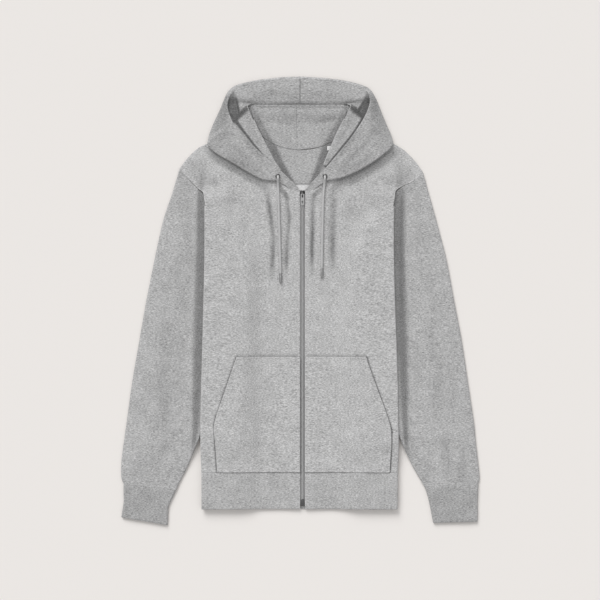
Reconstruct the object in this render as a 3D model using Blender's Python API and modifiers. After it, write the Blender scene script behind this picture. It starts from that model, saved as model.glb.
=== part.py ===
"""Zip-up hoodie in heather grey fleece, laid flat on a table with its front up.

The garment lies on the XY plane with the hood toward +Y and its front facing +Z. Left and right
are the sides at -X and +X. The sides of the body are tucked behind it, the sleeves run down
beside it, and the hood lies open above the shoulders with its front edges folded over.

Sizes are in millimetres and become metres when a mesh is made.
"""

import math

import bmesh
import bpy
from mathutils import Vector

MM = 0.001

# Middle of the laid garment's outline, which becomes the origin
MIDDLE = (-1.946, 1.438)

# Cloth and seams
CLOTH = 2.0  # brushed fleece
RIB = 2.4  # doubled rib knit of the hem
CUFF_RIB = 2.6  # doubled rib knit of the cuffs
FACING = 1.2  # single jersey patch inside the back neck
GAP = 0.3  # left between two pieces that touch
SLACK = 1.6  # air inside a fold of the body
RIB_SLACK = 1.2  # air inside a fold of the hem
SLEEVE_SLACK = 1.0  # air between the two layers of a sleeve

# Zip
ZIP_X = 2.2  # the zip's centre line
ZIP_TOP = 217.0
ZIP_BOTTOM = -400.0
ZIP_HALF_GAP = 5.1  # from the centre line to the folded edge of a front
TAPE_HALF = 12.5
TAPE = 0.8
TAPE_Z = 3.1
CHAIN_HALF = 2.8
CHAIN_HIGH = 2.0

# Heights of the middle of each body layer above the table
BACK_Z = CLOTH / 2
BACK_OVER_Z = BACK_Z + CLOTH + SLACK
SLEEVE_UNDER_Z = BACK_OVER_Z + CLOTH + 2 * GAP
SLEEVE_RISE = CLOTH + SLEEVE_SLACK
FRONT_UNDER_LOW = BACK_OVER_Z + CLOTH + GAP
FRONT_UNDER_HIGH = SLEEVE_UNDER_Z + SLEEVE_RISE + CLOTH + GAP
FRONT_AT_ZIP = 4.8
FRONT_FLAT = BACK_Z + CLOTH + 0.4

# Main lines across the body
HEM_BOTTOM = -405.0
HEM_SEAM = -334.0
TUCK_TOP = 185.0  # the tucked sides start here, at the armholes
BACK_INSET = 2.0  # the back's folded side lies this far inside the front's

# Outer edge of the body: height up the garment, and the edge at each side.
BODY_EDGE = [
    # (y, left x, right x)
    (-405.0, -195.2, 187.9),
    (-334.0, -195.4, 188.4),
    (-290.0, -196.6, 190.0),
    (-231.5, -196.8, 189.2),
    (-153.5, -194.9, 188.0),
    (-75.5, -192.9, 185.4),
    (2.5, -191.0, 182.6),
    (80.5, -189.2, 180.8),
    (158.5, -188.9, 180.6),
    (185.0, -188.9, 181.4),
    (217.0, -190.2, 183.8),
]

# How much of each side is tucked behind, up the garment.
TUCK = [
    # (y, tucked width)
    (-405.0, 68.0),
    (88.0, 68.0),
    (118.0, 52.0),
    (147.0, 35.0),
    (185.0, 15.0),
    (340.0, 15.0),
]
CLIMB = 50.0  # a front climbs onto its tucked side over this width
CLIMB_CLEAR = 5.0  # and is up this far before the tuck begins

# Top of a front, from the zip along the neck seam and the shoulder to its tip.
# The first column says how far across the front it is, from 0 at the zip to 1 at the side.
FRONT_TOP = {
    -1: [
        # (across, x, y)
        (0.000, -3.4, 216.3),
        (0.035, -11.0, 216.4),
        (0.070, -19.0, 217.0),
        (0.110, -27.0, 221.3),
        (0.155, -34.5, 227.8),
        (0.200, -42.5, 236.6),
        (0.250, -51.0, 249.0),
        (0.305, -61.0, 265.4),
        (0.365, -71.8, 285.4),
        (0.430, -84.0, 309.0),
        (0.480, -94.3, 330.6),
        (0.560, -114.0, 326.4),
        (0.680, -144.0, 318.6),
        (0.800, -176.0, 310.4),
        (0.880, -201.0, 299.3),
        (0.950, -223.0, 278.4),
        (1.000, -237.8, 258.8),
    ],
    1: [
        (0.000, 7.8, 216.3),
        (0.035, 15.0, 216.4),
        (0.070, 23.0, 217.0),
        (0.110, 31.0, 221.3),
        (0.155, 38.0, 227.8),
        (0.200, 46.0, 237.6),
        (0.250, 54.5, 250.5),
        (0.305, 64.0, 267.4),
        (0.365, 74.5, 287.4),
        (0.430, 86.0, 310.0),
        (0.480, 95.5, 330.6),
        (0.560, 113.0, 326.4),
        (0.680, 141.0, 318.6),
        (0.800, 172.0, 310.4),
        (0.880, 197.0, 297.6),
        (0.950, 221.0, 274.4),
        (1.000, 237.2, 252.3),
    ],
}

# Side edge of a front above the tuck: up to the armhole seam and along it to the shoulder.
FRONT_SIDE = {
    -1: [
        # (share of the way up, x, y)
        (0.00, -188.9, 185.0),
        (0.22, -189.6, 203.0),
        (0.36, -191.8, 213.0),
        (0.48, -199.6, 219.0),
        (0.68, -217.1, 235.6),
        (0.88, -231.2, 250.8),
        (1.00, -237.8, 258.8),
    ],
    1: [
        (0.00, 181.4, 185.0),
        (0.22, 182.2, 205.0),
        (0.36, 185.2, 217.5),
        (0.48, 196.3, 224.6),
        (0.68, 217.7, 233.6),
        (0.88, 231.4, 243.4),
        (1.00, 237.2, 252.3),
    ],
}

# Neck seam of the back panel, from one shoulder to the other.
BACK_NECK = [
    # (x, y)
    (-94.3, 331.0),
    (-76.7, 320.5),
    (-41.6, 301.5),
    (-2.5, 295.0),
    (37.0, 301.5),
    (76.7, 320.5),
    (95.5, 331.0),
]

# Soft folds that fall from the neck: raised strips that fade toward the pockets.
NECK_FOLDS = [
    # (x at the top, x at the foot, foot y, half width, height)
    (-45.0, -42.0, 30.0, 20.0, 2.6),
    (43.0, 40.5, 38.0, 21.0, 2.4),
    (-92.0, -84.0, 90.0, 19.0, 1.3),
    (88.0, 82.0, 96.0, 19.0, 1.2),
]
FOLD_TOP = 226.0

# Heights up the garment at which the panels have a row of points.
PANEL_ROWS = [
    -333.4, -318.0, -298.0, -276.0, -240.0, -175.0, -109.0, -50.0, 5.0, 45.0, 75.0, 100.0,
    125.0, 153.0, 185.0,
]
BACK_ROWS = [
    -333.4, -290.0, -240.0, -180.0, -120.0, -60.0, 0.0, 45.0, 90.0, 118.0, 147.0, 172.0,
]
SHOULDER_ROWS = [0.16, 0.34, 0.5, 0.68, 0.86, 1.0]

# Sleeves, from the cuff seam to the armhole.
SLEEVES = {
    -1: [
        # (outer x, outer y, inner x, inner y, share of the armhole's curve)
        (-346.9, -356.0, -244.2, -369.2, 0.0),
        (-352.2, -344.0, -238.0, -354.0, 0.0),
        (-351.8, -312.0, -223.0, -325.0, 0.0),
        (-346.5, -270.0, -203.0, -278.0, 0.0),
        (-341.0, -231.5, -189.0, -240.0, 0.0),
        (-330.2, -153.5, -172.0, -168.0, 0.0),
        (-316.6, -75.5, -156.0, -92.0, 0.0),
        (-302.9, 2.5, -141.0, -18.0, 0.0),
        (-287.3, 80.5, -128.5, 48.0, 0.0),
        (-270.0, 158.5, -124.5, 76.0, 0.15),
        (-254.2, 206.1, -124.0, 82.5, 0.5),
        (-238.3, 258.2, -124.0, 88.0, 1.0),
    ],
    1: [
        (345.8, -354.6, 240.6, -363.4, 0.0),
        (348.3, -344.0, 233.5, -350.0, 0.0),
        (345.2, -312.0, 216.0, -320.0, 0.0),
        (340.5, -270.0, 195.0, -274.0, 0.0),
        (336.7, -231.5, 182.0, -236.0, 0.0),
        (325.0, -153.5, 165.0, -166.0, 0.0),
        (313.3, -75.5, 149.0, -92.0, 0.0),
        (298.6, 2.5, 134.5, -18.0, 0.0),
        (284.0, 80.5, 122.5, 48.0, 0.0),
        (263.0, 161.7, 119.0, 76.0, 0.15),
        (248.3, 213.1, 118.5, 82.5, 0.5),
        (237.7, 251.7, 118.5, 88.0, 1.0),
    ],
}
SLEEVE_STEPS = [0, 1, 2, 3, 3.5, 4, 5, 6, 7, 8, 8.6, 9, 9.5, 10, 10.5, 11]

# Armhole seam from the shoulder's tip to the underarm.
ARMHOLES = {
    -1: [
        # (share of its length, x, y)
        (0.0, -239.0, 257.6),
        (0.149, -218.5, 234.2),
        (0.265, -201.0, 217.4),
        (0.328, -192.0, 208.6),
        (0.428, -180.8, 191.2),
        (0.674, -157.0, 146.4),
        (1.0, -124.0, 88.0),
    ],
    1: [
        (0.0, 238.6, 250.9),
        (0.055, 232.6, 242.0),
        (0.132, 218.8, 231.8),
        (0.230, 198.0, 222.4),
        (0.309, 185.2, 212.4),
        (0.431, 172.6, 191.2),
        (0.676, 149.8, 146.4),
        (1.0, 118.5, 88.0),
    ],
}

# Cuffs, from the seam to the end.
CUFFS = {
    -1: [
        # (outer x, outer y, inner x, inner y)
        (-347.2, -356.6, -245.4, -370.1),
        (-347.6, -373.0, -252.0, -385.0),
        (-347.0, -389.0, -258.8, -399.5),
        (-349.4, -406.0, -260.4, -418.5),
        (-351.7, -421.3, -261.2, -436.6),
    ],
    1: [
        (346.2, -355.0, 241.4, -364.0),
        (345.6, -372.0, 245.8, -377.5),
        (344.8, -389.0, 249.2, -390.5),
        (344.9, -409.0, 253.2, -410.5),
        (344.7, -429.8, 257.3, -432.2),
    ],
}

# Sections across the hood, from its end at the zip, round the shoulder and up to its crown.
# Each runs from the front edge over the fold that shows as the hood's outline and back under
# to a seam.
HOOD = {
    -1: [
        # (edge x, edge y, edge z, fold x, fold y, roll)
        (-12.0, 228.2, 6.2, -3.6, 217.2, 0.0),
        (-24.1, 239.5, 6.8, -19.6, 218.0, 0.0),
        (-33.8, 248.4, 7.8, -34.0, 228.6, 0.0),
        (-46.5, 259.5, 10.8, -51.4, 234.6, 1.7),
        (-65.0, 275.9, 11.9, -76.7, 237.5, 1.9),
        (-84.5, 293.9, 12.1, -102.3, 250.6, 2.0),
        (-104.0, 311.4, 12.2, -133.3, 269.1, 2.0),
        (-119.6, 328.2, 12.3, -164.0, 286.8, 2.0),
        (-128.0, 339.5, 12.6, -180.6, 300.5, 2.0),
        (-133.0, 347.0, 12.8, -182.8, 310.5, 2.4),
        (-138.0, 357.0, 13.0, -178.5, 329.5, 3.0),
        (-142.5, 369.0, 13.0, -169.5, 351.5, 3.3),
        (-144.6, 381.0, 12.6, -158.5, 374.5, 3.4),
        (-142.4, 394.0, 11.4, -151.0, 394.5, 3.4),
        (-134.3, 407.6, 9.8, -141.5, 412.0, 3.4),
        (-118.9, 418.4, 8.6, -124.0, 423.4, 3.3),
        (-87.5, 426.6, 7.8, -87.5, 432.0, 3.3),
        (-42.6, 432.0, 7.6, -42.6, 437.4, 3.3),
        (-2.8, 433.8, 7.6, -2.8, 439.2, 3.3),
    ],
    1: [
        (16.5, 228.2, 6.2, 8.0, 217.2, 0.0),
        (28.6, 240.4, 6.8, 23.6, 218.0, 0.0),
        (38.3, 250.4, 7.8, 37.6, 228.6, 0.0),
        (51.0, 263.1, 10.8, 55.9, 235.6, 1.7),
        (69.5, 284.7, 11.9, 81.2, 241.4, 1.9),
        (88.0, 306.3, 12.1, 106.6, 252.1, 2.0),
        (104.6, 329.2, 12.2, 135.8, 268.7, 2.0),
        (115.0, 344.5, 12.3, 160.4, 286.5, 2.0),
        (120.5, 353.5, 12.6, 176.2, 300.0, 2.0),
        (124.1, 360.4, 12.8, 178.6, 309.5, 2.4),
        (128.0, 368.5, 13.0, 174.5, 325.5, 3.0),
        (131.3, 377.0, 13.0, 166.0, 344.5, 3.3),
        (133.7, 386.0, 12.6, 158.0, 364.0, 3.4),
        (133.6, 396.0, 11.4, 150.8, 382.5, 3.4),
        (129.5, 406.5, 9.8, 143.5, 399.5, 3.4),
        (119.4, 414.9, 8.6, 129.5, 417.5, 3.3),
        (92.0, 423.8, 7.8, 95.0, 429.2, 3.3),
        (46.1, 430.8, 7.6, 46.1, 436.2, 3.3),
        (-2.2, 433.8, 7.6, -2.2, 439.2, 3.3),
    ],
}
HOOD_STEPS = [0, 1, 2, 2.5, 3, 3.5, 4, 5, 6, 7, 7.6, 8, 8.5, 9, 9.5, 10, 11, 12, 12.5, 13,
              13.5, 14, 14.5, 15, 16, 17, 18]
# Where the lower layer ends: along the neck seam, which doubles back at the top of the shoulder.
# The last section lies along the seam up the middle of the hood.
HOOD_SEAM = {
    -1: [
        # (section, x, y)
        (0, -3.6, 217.2),
        (1, -19.6, 218.0),
        (2, -34.0, 228.6),
        (3, -45.0, 240.8),
        (4, -61.0, 266.2),
        (5, -76.2, 295.0),
        (6, -86.8, 316.0),
        (7, -91.2, 323.4),
        (8, -94.8, 327.5),
        (9, -101.5, 331.8),
        (10, -100.8, 333.6),
        (11, -98.8, 334.8),
        (12, -95.5, 334.6),
        (12.5, -89.0, 330.9),
        (13, -80.0, 324.8),
        (14, -62.0, 313.8),
        (15, -46.0, 305.8),
        (16, -30.0, 300.6),
        (17, -16.0, 298.0),
        (18, -2.8, 296.8),
    ],
    1: [
        (0, 8.0, 217.2),
        (1, 23.6, 218.0),
        (2, 37.6, 228.6),
        (3, 48.6, 241.8),
        (4, 64.0, 268.2),
        (5, 78.4, 296.6),
        (6, 88.2, 316.6),
        (7, 92.4, 323.4),
        (8, 96.0, 327.5),
        (9, 102.5, 331.8),
        (10, 101.8, 333.6),
        (11, 99.8, 334.8),
        (12, 96.5, 334.6),
        (12.5, 90.0, 330.9),
        (13, 80.5, 324.8),
        (14, 61.5, 314.2),
        (15, 44.0, 305.8),
        (16, 27.0, 300.6),
        (17, 12.0, 298.0),
        (18, -2.2, 296.8),
    ],
}
HOOD_OVER = (0.0, 0.33, 0.67, 1.0)
HOOD_UNDER = (0.0, 0.2, 0.4, 0.6, 0.75, 0.88, 1.0)
FOLDED_FROM = 3  # the hood's lower edge turns under from this section on

# Lining that shows inside the hood's edge, from the same sections: its folded inner edge, its
# height there and at its hidden outer edge, and how far it runs in under the hood's edge.
FLAPS = {
    -1: [
        # (section, inner x, inner y, inner z, outer z, run under)
        (3, -38.7, 255.1, 8.2, 8.0, 1.0),
        (4, -51.4, 273.6, 9.2, 9.2, 5.0),
        (5, -64.1, 298.0, 9.3, 9.2, 9.0),
        (6, -75.8, 321.4, 9.4, 9.2, 12.0),
        (7, -83.5, 336.5, 9.6, 9.2, 14.0),
        (8, -88.0, 346.5, 9.9, 9.0, 14.0),
        (9, -91.4, 354.5, 10.4, 8.0, 14.0),
        (10, -95.0, 363.0, 10.9, 6.0, 13.0),
        (11, -98.8, 372.5, 11.3, 4.6, 10.0),
        (12, -101.7, 380.6, 11.3, 4.4, 7.0),
        (13, -95.5, 384.6, 4.2, 5.2, 3.0),
        (14, -82.0, 383.6, 3.4, 5.8, 0.0),
        (15, -64.0, 383.2, 3.4, 5.4, -0.6),
        (16, -43.0, 383.2, 3.4, 5.2, -0.6),
        (17, -22.0, 383.2, 3.4, 5.2, -0.6),
        (18, -2.8, 383.2, 3.4, 5.2, -0.6),
    ],
    1: [
        (3, 42.3, 266.5, 8.2, 8.0, 1.0),
        (4, 51.5, 289.5, 9.2, 9.2, 5.0),
        (5, 60.0, 310.0, 9.3, 9.2, 9.0),
        (6, 68.0, 328.0, 9.4, 9.2, 12.0),
        (7, 74.5, 341.0, 9.6, 9.2, 14.0),
        (8, 78.5, 348.7, 9.9, 9.0, 14.0),
        (9, 81.8, 355.5, 10.4, 8.0, 14.0),
        (10, 85.5, 364.0, 10.9, 6.0, 13.0),
        (11, 89.5, 373.5, 11.3, 4.6, 10.0),
        (12, 93.1, 381.0, 11.3, 4.4, 7.0),
        (13, 86.5, 384.6, 4.2, 5.2, 3.0),
        (14, 74.0, 383.6, 3.4, 5.8, 0.0),
        (15, 57.0, 383.2, 3.4, 5.4, -0.6),
        (16, 38.0, 383.2, 3.4, 5.2, -0.6),
        (17, 18.0, 383.2, 3.4, 5.2, -0.6),
        (18, -2.2, 383.2, 3.4, 5.2, -0.6),
    ],
}
FLAP_STEPS = [3, 3.5, 4, 5, 6, 7, 8, 9, 9.5, 10, 10.5, 11, 11.5, 12, 12.5, 13, 13.5, 14, 15,
              16, 17, 18]
FLAP_TURN_TO = 9  # the flap's inner edge is turned under as far as this section
FLAP_TURN = 4.5
FLAP_ROLL = 1.5

# Inside of the hood's back, one half on each side of its seam.
HOOD_BACK = {
    -1: {
        "seam": [(-8.2, 296.6), (-8.8, 384.0)],
        "side": [(0.0, -77.0, 323.6), (0.25, -82.5, 338.0), (0.5, -91.0, 354.0),
                 (0.8, -95.5, 371.0), (1.0, -91.0, 384.0)],
        "neck": [(0.0, -8.2, 296.6), (0.45, -41.6, 302.8), (0.8, -66.0, 315.0),
                 (1.0, -77.0, 323.6)],
    },
    1: {
        "seam": [(-7.6, 296.6), (-8.2, 384.0)],
        "side": [(0.0, 76.0, 323.4), (0.25, 79.0, 338.0), (0.5, 84.5, 354.0),
                 (0.8, 87.0, 371.0), (1.0, 82.5, 384.0)],
        "neck": [(0.0, -7.6, 296.6), (0.48, 37.0, 303.0), (0.82, 65.0, 315.4),
                 (1.0, 76.0, 323.4)],
    },
}
HOOD_BACK_LOW = CLOTH * 1.5 + GAP
HOOD_BACK_HIGH = 8.6
HOOD_BACK_RISE = (345.0, 374.0)  # it climbs to its folded top edge between these
HOOD_BACK_TURN = 6.0

# Patch inside the back neck, down both sides from the neck seam to its straight lower edge.
NECK_PATCH = [
    # (y at the side, left x, right x, how far the middle hangs below the sides)
    (319.2, -75.0, 74.0, 24.4),
    (303.0, -72.0, 70.0, 14.0),
    (283.0, -61.0, 60.0, 6.0),
    (258.0, -47.0, 48.0, 1.5),
    (239.0, -33.0, 36.0, 0.0),
    (229.8, -22.0, 27.0, 0.0),
]

# Pockets, from the zip to the slanted hand opening: height up the front, and the outer edge.
POCKETS = {
    -1: [(-333.2, -163.7), (-290.0, -166.2), (-241.8, -169.4), (-228.0, -166.0),
         (-172.0, -147.2), (-122.0, -130.4), (-108.4, -125.7)],
    1: [(-333.2, 171.6), (-298.0, 173.6), (-253.3, 175.2), (-240.0, 171.8),
        (-178.0, 150.0), (-129.0, 132.0), (-109.4, 126.0)],
}

# Drawcords: one route from each eyelet, over the hood's edge and down the front.
CORD = 4.6
CORD_ROUTES = {
    -1: [(-46.0, 243.6, 10.7), (-45.5, 243.3, 12.8), (-45.5, 241.7, 14.5), (-45.6, 238.7, 14.4),
         (-45.6, 235.2, 12.2), (-45.5, 231.2, 10.0), (-45.4, 226.5, 8.5), (-45.1, 221.0, 8.1),
         (-44.8, 214.0, 8.8), (-44.4, 200.0, 9.3), (-43.9, 180.0, 9.3), (-43.3, 158.0, 9.3),
         (-42.7, 136.0, 9.15), (-42.1, 114.0, 8.75), (-41.5, 92.0, 8.25), (-41.0, 72.0, 7.7),
         (-40.6, 54.6, 7.4)],
    1: [(46.2, 243.6, 9.7), (45.9, 243.2, 11.8), (45.9, 241.6, 13.5), (45.8, 238.7, 13.4),
        (45.6, 235.2, 11.3), (45.3, 231.2, 9.4), (44.9, 226.5, 8.2), (44.4, 221.0, 8.0),
        (43.6, 214.0, 8.8), (42.9, 200.0, 9.25), (42.2, 180.0, 9.4), (41.6, 158.0, 9.4),
        (41.2, 136.0, 9.15), (40.8, 114.0, 8.7), (40.5, 96.0, 8.2), (40.3, 80.0, 7.8),
        (40.2, 64.4, 7.45)],
}
TIP = 19.0  # length of the metal tip
TIP_ROUND = 5.0
EYELET_HOLE = 5.4
EYELET_ROUND = 9.6
EYELET_HIGH = 1.2
# Each eyelet's middle on the hood, and how the cloth climbs there along X and along Y.
EYELETS = {-1: (-46.0, 243.6, 10.5, -0.213, 0.144), 1: (46.2, 243.6, 9.45, 0.136, 0.157)}

# Slider, and its pull tab lying down the zip
PIVOT_Y = 208.7
PIVOT_Z = 8.4
SLIDER_TOP = 216.0
SLIDER_LONG = 15.6
SLIDER_WIDE = 9.4
SLIDER_BASE_Z = 3.8
SLIDER_HIGH = 3.0
BRIDGE_WIDE = 1.4
BRIDGE_BAR = 1.1
BRIDGE_REACH = 4.3  # from the pivot to the middle of each foot of the bridge
BRIDGE_TOP_Z = 10.8
PULL_LONG = 21.6
PULL_WIDE = 7.0
PULL_THICK = 1.4
PULL_TILT = math.radians(4.2)

STOP_TOP = -387.0
STOP_WIDE = 9.0
STOP_HIGH = 2.6

# (colour, roughness, metallic)
FINISHES = {
    "fleece": ((0.44, 0.44, 0.445), 0.95, 0.0),
    "fleece inside": ((0.62, 0.62, 0.62), 0.97, 0.0),
    "rib": ((0.36, 0.36, 0.365), 0.95, 0.0),
    "zip tape": ((0.30, 0.30, 0.305), 0.9, 0.0),
    "zip teeth": ((0.26, 0.26, 0.27), 0.45, 0.2),
    "metal": ((0.62, 0.62, 0.63), 0.3, 1.0),
    "dark metal": ((0.20, 0.20, 0.21), 0.35, 1.0),
    "cord": ((0.55, 0.55, 0.555), 0.9, 0.0),
    "label": ((0.85, 0.85, 0.84), 0.8, 0.0),
}


def clear_scene():
    for thing in list(bpy.data.objects):
        bpy.data.objects.remove(thing, do_unlink=True)


def finish(name):
    """The material of that name, made once."""
    if name in bpy.data.materials:
        return bpy.data.materials[name]
    colour, roughness, metallic = FINISHES[name]
    material = bpy.data.materials.new(name)
    material.use_nodes = True
    shader = material.node_tree.nodes["Principled BSDF"]
    shader.inputs["Base Color"].default_value = (*colour, 1.0)
    shader.inputs["Roughness"].default_value = roughness
    shader.inputs["Metallic"].default_value = metallic
    return material


def add(name, mesh, material, group):
    piece = bpy.data.objects.new(name, mesh)
    piece.data.materials.clear()
    piece.data.materials.append(finish(material))
    group.objects.link(piece)
    return piece


# ---------------------------------------------------------------- curves and tables


def ease(low, high, value):
    """0 below low, 1 above high, and a smooth climb between them."""
    share = min(1.0, max(0.0, (value - low) / (high - low)))
    return share * share * (3.0 - 2.0 * share)


def mix(a, b, share):
    return tuple(p + (q - p) * share for p, q in zip(a, b))


def at_key(table, key):
    """The row of a table at a value of its first column, read along a smooth curve."""
    last = len(table) - 1
    i = max(0, min(last - 1, sum(row[0] <= key for row in table) - 1))
    low, high = table[i], table[i + 1]
    wide = high[0] - low[0]
    share = min(1.0, max(0.0, (key - low[0]) / wide))
    before, after = table[max(0, i - 1)], table[min(last, i + 2)]
    row = []
    for column in range(1, len(low)):
        a, b = low[column], high[column]
        slope_a = wide * (b - before[column]) / max(1e-9, high[0] - before[0])
        slope_b = wide * (after[column] - a) / max(1e-9, after[0] - low[0])
        row.append(hermite(a, b, slope_a, slope_b, share))
    return tuple(row)


def straight_key(table, key):
    """The row of a table at a value of its first column, read straight between its rows."""
    for low, high in zip(table, table[1:]):
        if key <= high[0]:
            return mix(low[1:], high[1:], (key - low[0]) / (high[0] - low[0]))
    return tuple(table[-1][1:])


def hermite(a, b, slope_a, slope_b, share):
    square, cube = share * share, share ** 3
    return (a * (2 * cube - 3 * square + 1) + slope_a * (cube - 2 * square + share)
            + b * (3 * square - 2 * cube) + slope_b * (cube - square))


def at_step(table, step):
    """The row of a table between its rows, where step counts rows from 0."""
    return at_key([(i, *row) for i, row in enumerate(table)], step)


def patch(bottom, top, start, end, across, upward):
    """A grid of (x, y) between four curves, each a function of a share from 0 to 1."""
    grid = []
    for v in upward:
        row = []
        for u in across:
            low, high = mix(bottom(0), bottom(1), u), mix(top(0), top(1), u)
            point = tuple(
                mix(bottom(u), top(u), v)[k] + mix(start(v), end(v), u)[k] - mix(low, high, v)[k]
                for k in range(2)
            )
            row.append(point)
        grid.append(row)
    return grid


def body_edge(side, y):
    return at_key(BODY_EDGE, y)[0 if side < 0 else 1]


# ---------------------------------------------------------------- heights of the cloth


def neck_folds(x, y):
    """How much the soft folds below the neck raise a front."""
    total = 0.0
    for top_x, foot_x, foot_y, half_wide, high in NECK_FOLDS:
        down = min(1.0, max(0.0, (FOLD_TOP - y) / (FOLD_TOP - foot_y)))
        aside = abs(x - (top_x + (foot_x - top_x) * down)) / half_wide
        if aside < 1.0:
            total += high * (1.0 - ease(0.35, 1.0, down)) * math.cos(aside * math.pi / 2) ** 2
    return total


def front_under(y):
    """Middle of a front's tucked layer: over the sleeve, and lower below it."""
    return FRONT_UNDER_LOW + (FRONT_UNDER_HIGH - FRONT_UNDER_LOW) * ease(-322.0, -272.0, y)


def climb(x, y):
    """Share of the way up that a front has climbed onto its tucked side."""
    edge = abs(body_edge(-1 if x < ZIP_X else 1, min(y, 217.0)) - ZIP_X)
    top = edge - at_key(TUCK, y)[0] - CLIMB_CLEAR
    return ease(top - CLIMB, top, abs(x - ZIP_X)) * (1.0 - ease(206.0, 227.0, y))


def front_height(x, y):
    """Middle of a front's top layer."""
    away = abs(x - ZIP_X)
    low = FRONT_AT_ZIP + (FRONT_FLAT - FRONT_AT_ZIP) * ease(16.0, 40.0, away)
    high = front_under(y) + CLOTH + SLACK
    folds = neck_folds(x, y) * (1.0 - ease(206.0, 230.0, y))
    return low + (high - low) * climb(x, y) + folds


def shoulder_line(side, x):
    """Top of the body at x: the shoulder, or the back neck seam between the shoulders."""
    if abs(x) < abs(BACK_NECK[0 if side < 0 else -1][0]):
        return at_key(BACK_NECK, x)[0]
    shoulder = [(abs(px), py) for share, px, py in FRONT_TOP[side] if share >= 0.48]
    return at_key(shoulder, abs(x))[0]


def hood_bed(side, x, y):
    """Middle of the hood's lower layer: on the body, or on the table past the shoulders."""
    outer = ease(86.0, 93.5, abs(x))
    past = y - shoulder_line(side, x)
    foot = 1.2 + 5.3 * outer + 6.5 * ease(100.0, 125.0, abs(x))
    on_body = 1.0 - ease(3.2 * outer - 1.0, foot, past)
    return CLOTH / 2 + 0.1 + (front_height(x, y) + CLOTH / 2 + 1.7 * GAP) * on_body


# ---------------------------------------------------------------- solids


def wall(name, grid, thick, material, group, ring=False):
    """A cloth wall about a grid of points on its middle; None leaves a corner out."""
    work = bmesh.new()
    made = [[point and work.verts.new(Vector(point) * MM) for point in row] for row in grid]
    for near, far in zip(made, made[1:]):
        for i in range(len(near) - (0 if ring else 1)):
            j = (i + 1) % len(near)
            corners = [near[i], near[j], far[j], far[i]]
            if all(corners):
                work.faces.new(corners)
    bmesh.ops.recalc_face_normals(work, faces=work.faces)
    mesh = bpy.data.meshes.new(name)
    work.to_mesh(mesh)
    work.free()
    mesh.shade_smooth()
    piece = add(name, mesh, material, group)
    shell = piece.modifiers.new("thickness", "SOLIDIFY")
    shell.thickness = thick * MM
    shell.offset = 0.0
    shell.use_even_offset = True
    shell.use_quality_normals = True
    return piece


def half_turn(start, end_z, way, count):
    """Points of a half circle in a vertical plane, from a layer round to the one at end_z."""
    x, y, z = start
    radius = (z - end_z) / 2
    points = []
    for i in range(1, count):
        angle = math.pi * i / count
        reach = abs(radius) * math.sin(angle)
        points.append((x + way[0] * reach, y + way[1] * reach, z - radius * (1 - math.cos(angle))))
    return points


def front_column(side, share, y):
    """Where a front's column of points stands at y, from its zip edge to its folded side."""
    start = ZIP_X + side * ZIP_HALF_GAP
    turn = body_edge(side, y) - side * (CLOTH + SLACK / 2)
    return start + (turn - start) * share


def front_panel(side, group):
    """One front: its top layer up to neck and shoulder, and its side tucked behind."""
    across = [row[0] for row in FRONT_TOP[side]]
    edge_x = ZIP_X + side * ZIP_HALF_GAP
    reach = CLOTH + SLACK / 2
    rows = []
    for y in PANEL_ROWS:
        row = []
        for share in across:
            x = front_column(side, share, y)
            row.append((x, y, front_height(x, y)))
        low = front_under(y)
        turn_x, _, turn_z = row[-1]
        row += half_turn((turn_x, y, turn_z), low, (side, 0.0), 4)
        tucked = at_key(TUCK, y)[0]
        for share in (0.0, 0.3, 0.65, 1.0):
            x = turn_x - side * max(1.0, tucked - reach) * share
            row.append((x, y, low))
        rows.append(row)
    tuck_columns = len(rows[0]) - len(across)
    base_y = PANEL_ROWS[-1]
    corner = front_column(side, 1.0, base_y)
    side_line = [(0.0, corner, base_y)] + FRONT_SIDE[side][1:]
    plan = patch(
        lambda u: (edge_x + (corner - edge_x) * u, base_y),
        lambda u: at_key(FRONT_TOP[side], u),
        lambda v: (edge_x, base_y + (FRONT_TOP[side][0][2] - base_y) * v),
        lambda v: at_key(side_line, v),
        across,
        SHOULDER_ROWS,
    )
    for row in plan:
        rows.append([(x, y, front_height(x, y)) for x, y in row] + [None] * tuck_columns)
    return wall("front_left" if side < 0 else "front_right", rows, CLOTH, "fleece", group)


def back_top(share):
    """Top of the back panel from the left shoulder's tip to the right one's."""
    left = [(px, py) for part, px, py in FRONT_TOP[-1] if part >= 0.48]
    right = [(px, py) for part, px, py in FRONT_TOP[1] if part >= 0.48]
    line = left[::-1] + BACK_NECK[1:-1] + right
    return at_step(line, share * (len(line) - 1))


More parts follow.
